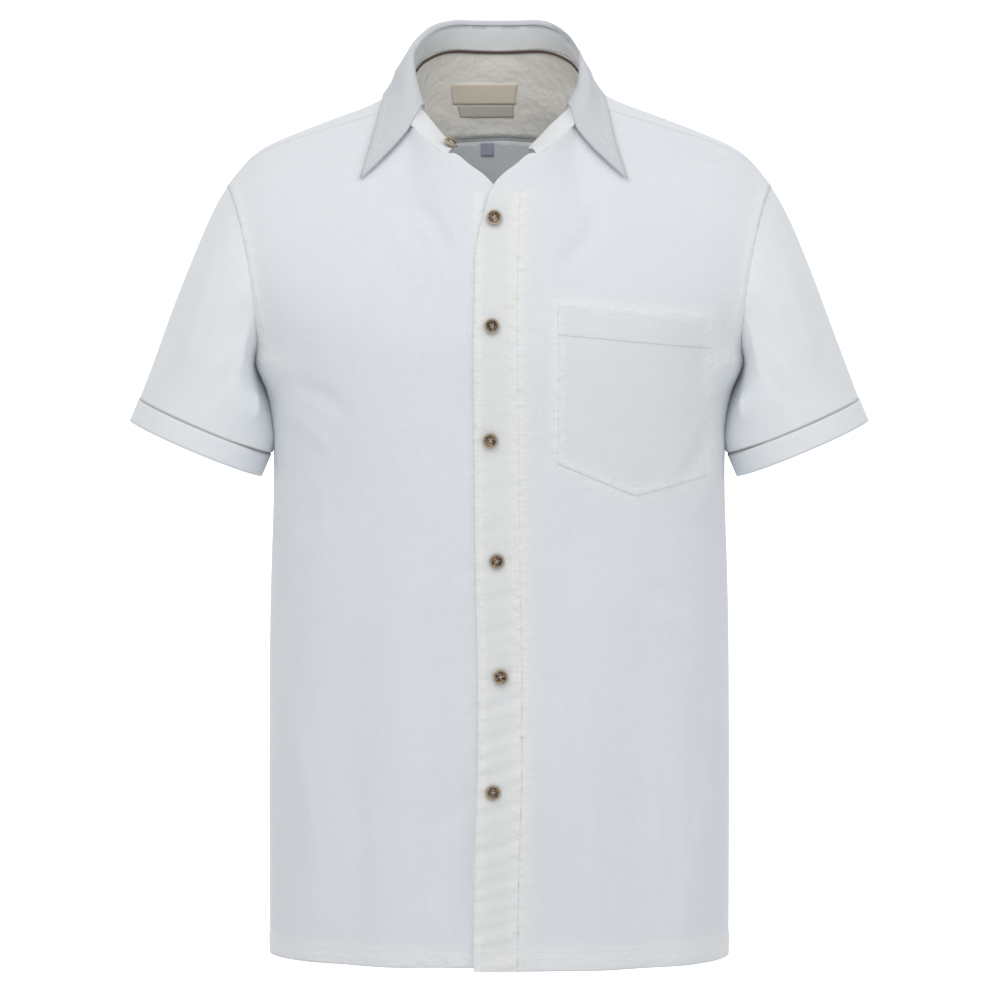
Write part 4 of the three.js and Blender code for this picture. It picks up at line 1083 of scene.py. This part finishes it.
def button_mesh(radius, height):
    """A turned button with a raised rim, a dished face and four holes, in metres, facing +Z."""
    turned = bmesh.new()
    points = [turned.verts.new((r * radius * MM, 0, h * height * MM)) for r, h in BUTTON_PROFILE]
    edges = [turned.edges.new(pair) for pair in zip(points, points[1:])]
    whole = {"angle": 2 * math.pi, "steps": 40, "use_merge": True}
    bmesh.ops.spin(turned, geom=points + edges, cent=(0, 0, 0), axis=(0, 0, 1), **whole)
    bmesh.ops.remove_doubles(turned, verts=turned.verts, dist=0.01 * MM)
    bmesh.ops.recalc_face_normals(turned, faces=turned.faces[:])
    body = mesh_from("button_body", turned)
    holes = bmesh.new()
    for x in (-HOLE_PLACE, HOLE_PLACE):
        for y in (-HOLE_PLACE, HOLE_PLACE):
            place = Matrix.Translation((x * MM, y * MM, height * 0.5 * MM))
            add_rod(holes, HOLE_RADIUS, 3 * height, 16, place)
    cutter_mesh = mesh_from("holes", holes)
    holder = placed("button_body", body)
    cutter = placed("holes", cutter_mesh)
    drill = holder.modifiers.new("holes", "BOOLEAN")
    drill.object = cutter
    drill.solver = "EXACT"
    drilled = modified_mesh(holder)
    for made, mesh in ((holder, body), (cutter, cutter_mesh)):
        bpy.data.objects.remove(made)
        bpy.data.meshes.remove(mesh)
    return drilled


def button_piece(node, turn, material):
    """A drilled horn button, with its crossed thread, on the place of its CAD node."""
    points = points_of(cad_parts[node].data)
    centre = points.mean(0)
    normal = Vector(np.linalg.svd(points - centre)[2][2])
    if normal.y > 0:
        normal.negate()
    foot = Vector(centre) + normal * (((points - centre) @ np.array(normal)).min())
    spin = normal.to_track_quat("Z", "Y").to_matrix().to_4x4() @ Matrix.Rotation(turn, 4, "Z")
    mesh = button_mesh(BUTTON_RADIUS, BUTTON_HEIGHT)
    local = points_of(mesh)
    reach = np.hypot(local[:, 0], local[:, 1]) / BUTTON_RADIUS
    rim = mesh.attributes.new("rim", "FLOAT", "POINT")
    rim.data.foreach_set("value", smoothstep(reach, *RIM_FADE) * RIM_PALE)
    # Each button takes its streaks from its own place in the shirt, so that no two look the same
    places = mesh.attributes.new("button_place", "FLOAT_VECTOR", "POINT")
    places.data.foreach_set("vector", ((local + centre * 3) * MM).ravel())
    mesh.transform(Matrix.Translation(foot * MM) @ spin)
    piece = new_piece(node + "_horn", mesh, material)
    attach(piece, "root")
    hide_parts(node)
    thread = bmesh.new()
    lying = Matrix.Scale(TIE_FLATNESS, 4, (0, 1, 0)) @ Matrix.Rotation(math.pi / 2, 4, "Y")
    for angle in (math.pi / 4, -math.pi / 4):
        place = Matrix.Translation((0, 0, TIE_HEIGHT * MM)) @ Matrix.Rotation(angle, 4, "Z") @ lying
        add_rod(thread, TIE_RADIUS, TIE_LENGTH, 8, place)
    crossed = mesh_from(node + "_thread", thread)
    crossed.transform(Matrix.Translation(foot * MM) @ spin)
    tied = new_piece(node + "_thread", crossed, cotton_thread())
    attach(tied, "root")


# Each linen's tone against that of the panels. Some tones are painted light and shade: the sleeves, collar
# stand and inner yoke are painted lighter, and the pocket and collar leaf painted darker
LINEN_TONES = {
    "washed_linen": (1, 1, 1),
    # Painted light: the sleeves are made lighter, standing in for the light their fronts catch
    "sleeve_linen_painted_light": (1.05, 1.05, 1.04),
    # Painted shade: the doubled pocket is made darker, standing in for the less light that two layers let
    # through
    "doubled_linen_painted_shade": (0.98, 0.98, 0.97),
    "placket_linen": (1.02, 1.0, 0.965),
    # Painted shade: the collar leaf is made much darker, standing in for the shade on the doubled leaf
    "collar_linen_painted_shade": (0.79, 0.79, 0.79),
    # Painted light: the stand is made a little lighter against the shade inside the neck, and warmer
    "stand_linen_painted_light": (1.02, 1.0, 0.97),
    # Painted light: the inner yoke is made much lighter against the shade inside the neck, and warmer
    "inner_yoke_linen_painted_light": (1.18, 1.1, 0.97),
}


def linen(kind="washed_linen"):
    """The linen of one kind of piece, in its own tone, which for some kinds is painted light and for others
    painted shade; the inner yoke's is crumpled.
    """
    made = bpy.data.materials.get(kind)
    if made:
        return made
    settings = bpy.context.scene.shirt_cloth
    tones = (*LINEN_TONES[kind], 1)
    light, shade = (
        [min(1, value * tone) for value, tone in zip(colour, tones)]
        for colour in (settings.light, settings.shade)
    )
    crush = INNER_YOKE_CRUSH if kind == "inner_yoke_linen_painted_light" else 1.0
    return washed_linen(kind, light, shade, settings.thread, crush)


# Trims: slot, CAD nodes, material and its colour, then its roughness, sheen and thread spacing
SLEEVE_PIPINGS = ("sleeve_piping_right", "sleeve_piping_left")
TRIMS = (
    ("piping", ("neck_piping",), "brown_twill_piping", "#54463e", 0.8, 0.1, 0.6),
    # Partly painted highlight: the sleeve pipings are drawn pale grey, as their fronts look where light
    # falls on them; seen edge-on they are brown
    ("piping", SLEEVE_PIPINGS, "faded_twill_piping", "#b1aeab", 0.8, 0.1, 0.6),
    ("label", ("neck_label",), "woven_damask_label", "#e2d8c6", 0.6, 0.3, 0.5),
    ("label", ("care_label",), "woven_grey_label", "#c9c3b8", 0.6, 0.3, 0.5),
    ("tab", ("size_tab",), "woven_satin_tab", "#b5b5cc", 0.5, 0.3, 0.4),
)


class SHIRT_OT_panels(bpy.types.Operator):
    """Makes the fronts, back, yoke and inner yoke"""

    bl_idname = "shirt.panels"
    bl_label = "Body Panels"

    def execute(self, context):
        for name in ("front_right", "front_left", "back", "yoke", "yoke_facing"):
            cloth_piece(name, linen("inner_yoke_linen_painted_light" if name == "yoke_facing" else "washed_linen"))
        return {"FINISHED"}


class SHIRT_OT_sleeves(bpy.types.Operator):
    """Makes the sleeves and their hem bands"""

    bl_idname = "shirt.sleeves"
    bl_label = "Sleeves"

    def execute(self, context):
        for side in ("right", "left"):
            cloth_piece("sleeve_" + side, linen("sleeve_linen_painted_light"))
            cloth_piece("sleeve_band_" + side, linen("sleeve_linen_painted_light"))
        return {"FINISHED"}


class SHIRT_OT_collar(bpy.types.Operator):
    """Makes the collar's stand and leaf"""

    bl_idname = "shirt.collar"
    bl_label = "Collar"

    def execute(self, context):
        cloth_piece("collar_leaf", linen("collar_linen_painted_shade"))
        cloth_piece("collar_stand", linen("stand_linen_painted_light"))
        return {"FINISHED"}


class SHIRT_OT_layers(bpy.types.Operator):
    """Lays the placket and the pocket on the left front"""

    bl_idname = "shirt.layers"
    bl_label = "Placket and Pocket"

    def execute(self, context):
        fine = bpy.data.objects["front_left_cloth"].data
        edges = [((STRIP_EDGE, 0), (1, 0)), ((0, STRIP_TOP), (0, 1))]
        strip = [skin_patch(fine, edges, -LAYER_SUNK, STRIP_THICKNESS, 1.0)]
        patch_piece("placket", strip, linen("placket_linen"))
        inner, outer = POCKET[:2]
        band = [inner, outer, *((x, z - POCKET_BAND) for x, z in (outer, inner))]
        layers = [
            skin_patch(fine, outline_cuts(list(POCKET)), -LAYER_SUNK, POCKET_THICKNESS),
            skin_patch(fine, outline_cuts(band), POCKET_BAND_LIFT, POCKET_BAND_THICKNESS),
        ]
        patch_piece("pocket", layers, linen("doubled_linen_painted_shade"))
        return {"FINISHED"}


class SHIRT_OT_trims(bpy.types.Operator):
    """Makes the piping, the bare labels and the size tab"""

    bl_idname = "shirt.trims"
    bl_label = "Piping and Labels"

    def execute(self, context):
        for slot, names, kind, value, *weave in TRIMS:
            material = plain_cloth(kind, value, *weave)
            for name in names:
                trim_piece(name, material, slot, 2)
        return {"FINISHED"}


class SHIRT_OT_sewing(bpy.types.Operator):
    """Sews the rows of stitches along hems, placket, pocket, armholes, yoke and collar"""

    bl_idname = "shirt.sewing"
    bl_label = "Stitching"

    def execute(self, context):
        fronts = ("front_left_cloth", "front_right_cloth", "placket_cloth")
        front = tree_of(*fronts, "pocket_cloth", "yoke_cloth")
        back = tree_of("back_cloth", "yoke_cloth")
        all_round = tree_of(*fronts, "back_cloth")
        leaf = tree_of("collar_leaf_cloth")
        sway = [(x, z) for z, x in zip(SWAY_Z, SWAY_X) if z < STRIP_ROWS_TOP]
        strip = [[(x + off, z) for x, z in sway] for off in STRIP_ROWS]
        stitches("placket_stitches", [cast_path(front, front_rays(path)) for path in strip])
        stitches("hem_stitches", [cast_path(all_round, hem_rays())])
        stitches("pocket_stitches", [cast_path(front, front_rays(row)) for row in pocket_rows()])
        armholes = []
        for side in (-1, 1):
            path = [(side * (armhole_x(z) - ARMHOLE_ROW), z) for z in ARMHOLE_ROW_Z]
            for face, cloth in ((-1, front), (1, back)):
                armholes.append(cast_path(cloth, front_rays(path, face)))
        stitches("armhole_stitches", armholes)
        points = []
        for side in (-1, 1):
            lies = eased_points("collar_leaf", np.array(LEAF_STITCHES) * (side, 1, 1))
            points.append(cast_path(leaf, front_rays([(x, z) for x, _, z in lies])))
        stitches("collar_stitches", points)
        seam = [(x, z + YOKE_ROW) for x, z in YOKE_SEAM]
        stitches("yoke_stitches", [cast_path(back, front_rays(seam, 1))])
        return {"FINISHED"}


class SHIRT_OT_buttons(bpy.types.Operator):
    """Makes the horn buttons and their thread"""

    bl_idname = "shirt.buttons"
    bl_label = "Buttons"

    def execute(self, context):
        material = horn()
        for number, node in enumerate(sorted(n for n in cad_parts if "button" in n)):
            button_piece(node, 0.5 + 1.3 * number, material)
        return {"FINISHED"}


def area_light(name, place, watts):
    """A soft square light that shines on the middle of the shirt."""
    data = bpy.data.lights.new(name, "AREA")
    data.shape = "SQUARE"
    data.size = LIGHT_SIZE
    data.energy = watts
    light = placed(name, data)
    light.location = place
    light.rotation_euler = (Vector(SHIRT_MIDDLE) - light.location).to_track_quat("-Z", "Y").to_euler()


def stage_sheet(name, profile, half_width, material):
    """A wide sheet of paper along a profile of y and z, in metres."""
    sheet = bpy.data.meshes.new(name)
    corners = [(x, y, z) for y, z in profile for x in (-half_width, half_width)]
    faces = [(2 * i, 2 * i + 1, 2 * i + 3, 2 * i + 2) for i in range(len(profile) - 1)]
    sheet.from_pydata(corners, [], faces)
    return new_piece(name, sheet, material)


class SHIRT_OT_stage(bpy.types.Operator):
    """Sets the pale floor, the lit backdrop, the soft lights and the camera"""

    bl_idname = "shirt.stage"
    bl_label = "Stage"

    def execute(self, context):
        settings = context.scene.shirt_stage
        paper, _, shader = new_material("pale_floor", 0.9)
        shader.inputs["Base Color"].default_value = linear("#eef0f2")
        lit, _, glow = new_material("lit_backdrop", 0.9)
        glow.inputs["Emission Color"].default_value = (1, 1, 1, 1)
        glow.inputs["Emission Strength"].default_value = 1.0
        stage_sheet("floor", *FLOOR, paper)
        stage_sheet("backdrop", *BACKDROP, lit)
        world = bpy.data.worlds.new("soft_room")
        world.use_nodes = True
        background = world.node_tree.nodes["Background"]
        background.inputs["Color"].default_value = (1, 1, 1, 1)
        background.inputs["Strength"].default_value = settings.light
        context.scene.world = world
        area_light("key", KEY_PLACE, settings.key)
        area_light("fill", FILL_PLACE, settings.fill)
        camera = placed("camera", bpy.data.cameras.new("camera"))
        camera.data.lens = settings.lens
        camera.data.sensor_width = 36
        down = settings.look_down
        camera.location = Vector(LOOK_AT) + settings.distance * Vector((0, -math.cos(down), math.sin(down)))
        camera.rotation_euler = (math.pi / 2 - down, 0, 0)
        context.scene.camera = camera
        context.scene.view_settings.view_transform = "Standard"
        return {"FINISHED"}


CLASSES = (
    ShirtCloth,
    ShirtStage,
    SHIRT_OT_panels,
    SHIRT_OT_sleeves,
    SHIRT_OT_collar,
    SHIRT_OT_layers,
    SHIRT_OT_trims,
    SHIRT_OT_sewing,
    SHIRT_OT_buttons,
    SHIRT_OT_stage,
)
STEPS = ("panels", "sleeves", "collar", "layers", "trims", "sewing", "buttons", "stage")


class SHIRT_PT_panel(bpy.types.Panel):
    """Lists the shirt's settings and steps"""

    bl_idname = "SHIRT_PT_panel"
    bl_label = "Bush Shirt"
    bl_space_type = "VIEW_3D"
    bl_region_type = "UI"
    bl_category = "Shirt"

    def draw(self, context):
        for group in (context.scene.shirt_cloth, context.scene.shirt_stage):
            for name in group.bl_rna.properties.keys():
                if name not in ("rna_type", "name"):
                    self.layout.prop(group, name)
        for step in STEPS:
            self.layout.operator("shirt." + step)


def register():
    for cls in (*CLASSES, SHIRT_PT_panel):
        bpy.utils.register_class(cls)
    bpy.types.Scene.shirt_cloth = PointerProperty(type=ShirtCloth)
    bpy.types.Scene.shirt_stage = PointerProperty(type=ShirtStage)


def unregister():
    del bpy.types.Scene.shirt_stage
    del bpy.types.Scene.shirt_cloth
    for cls in (SHIRT_PT_panel, *reversed(CLASSES)):
        bpy.utils.unregister_class(cls)


def main():
    register()
    for step in STEPS:
        getattr(bpy.ops.shirt, step)()


if __name__ == "__main__":
    main()
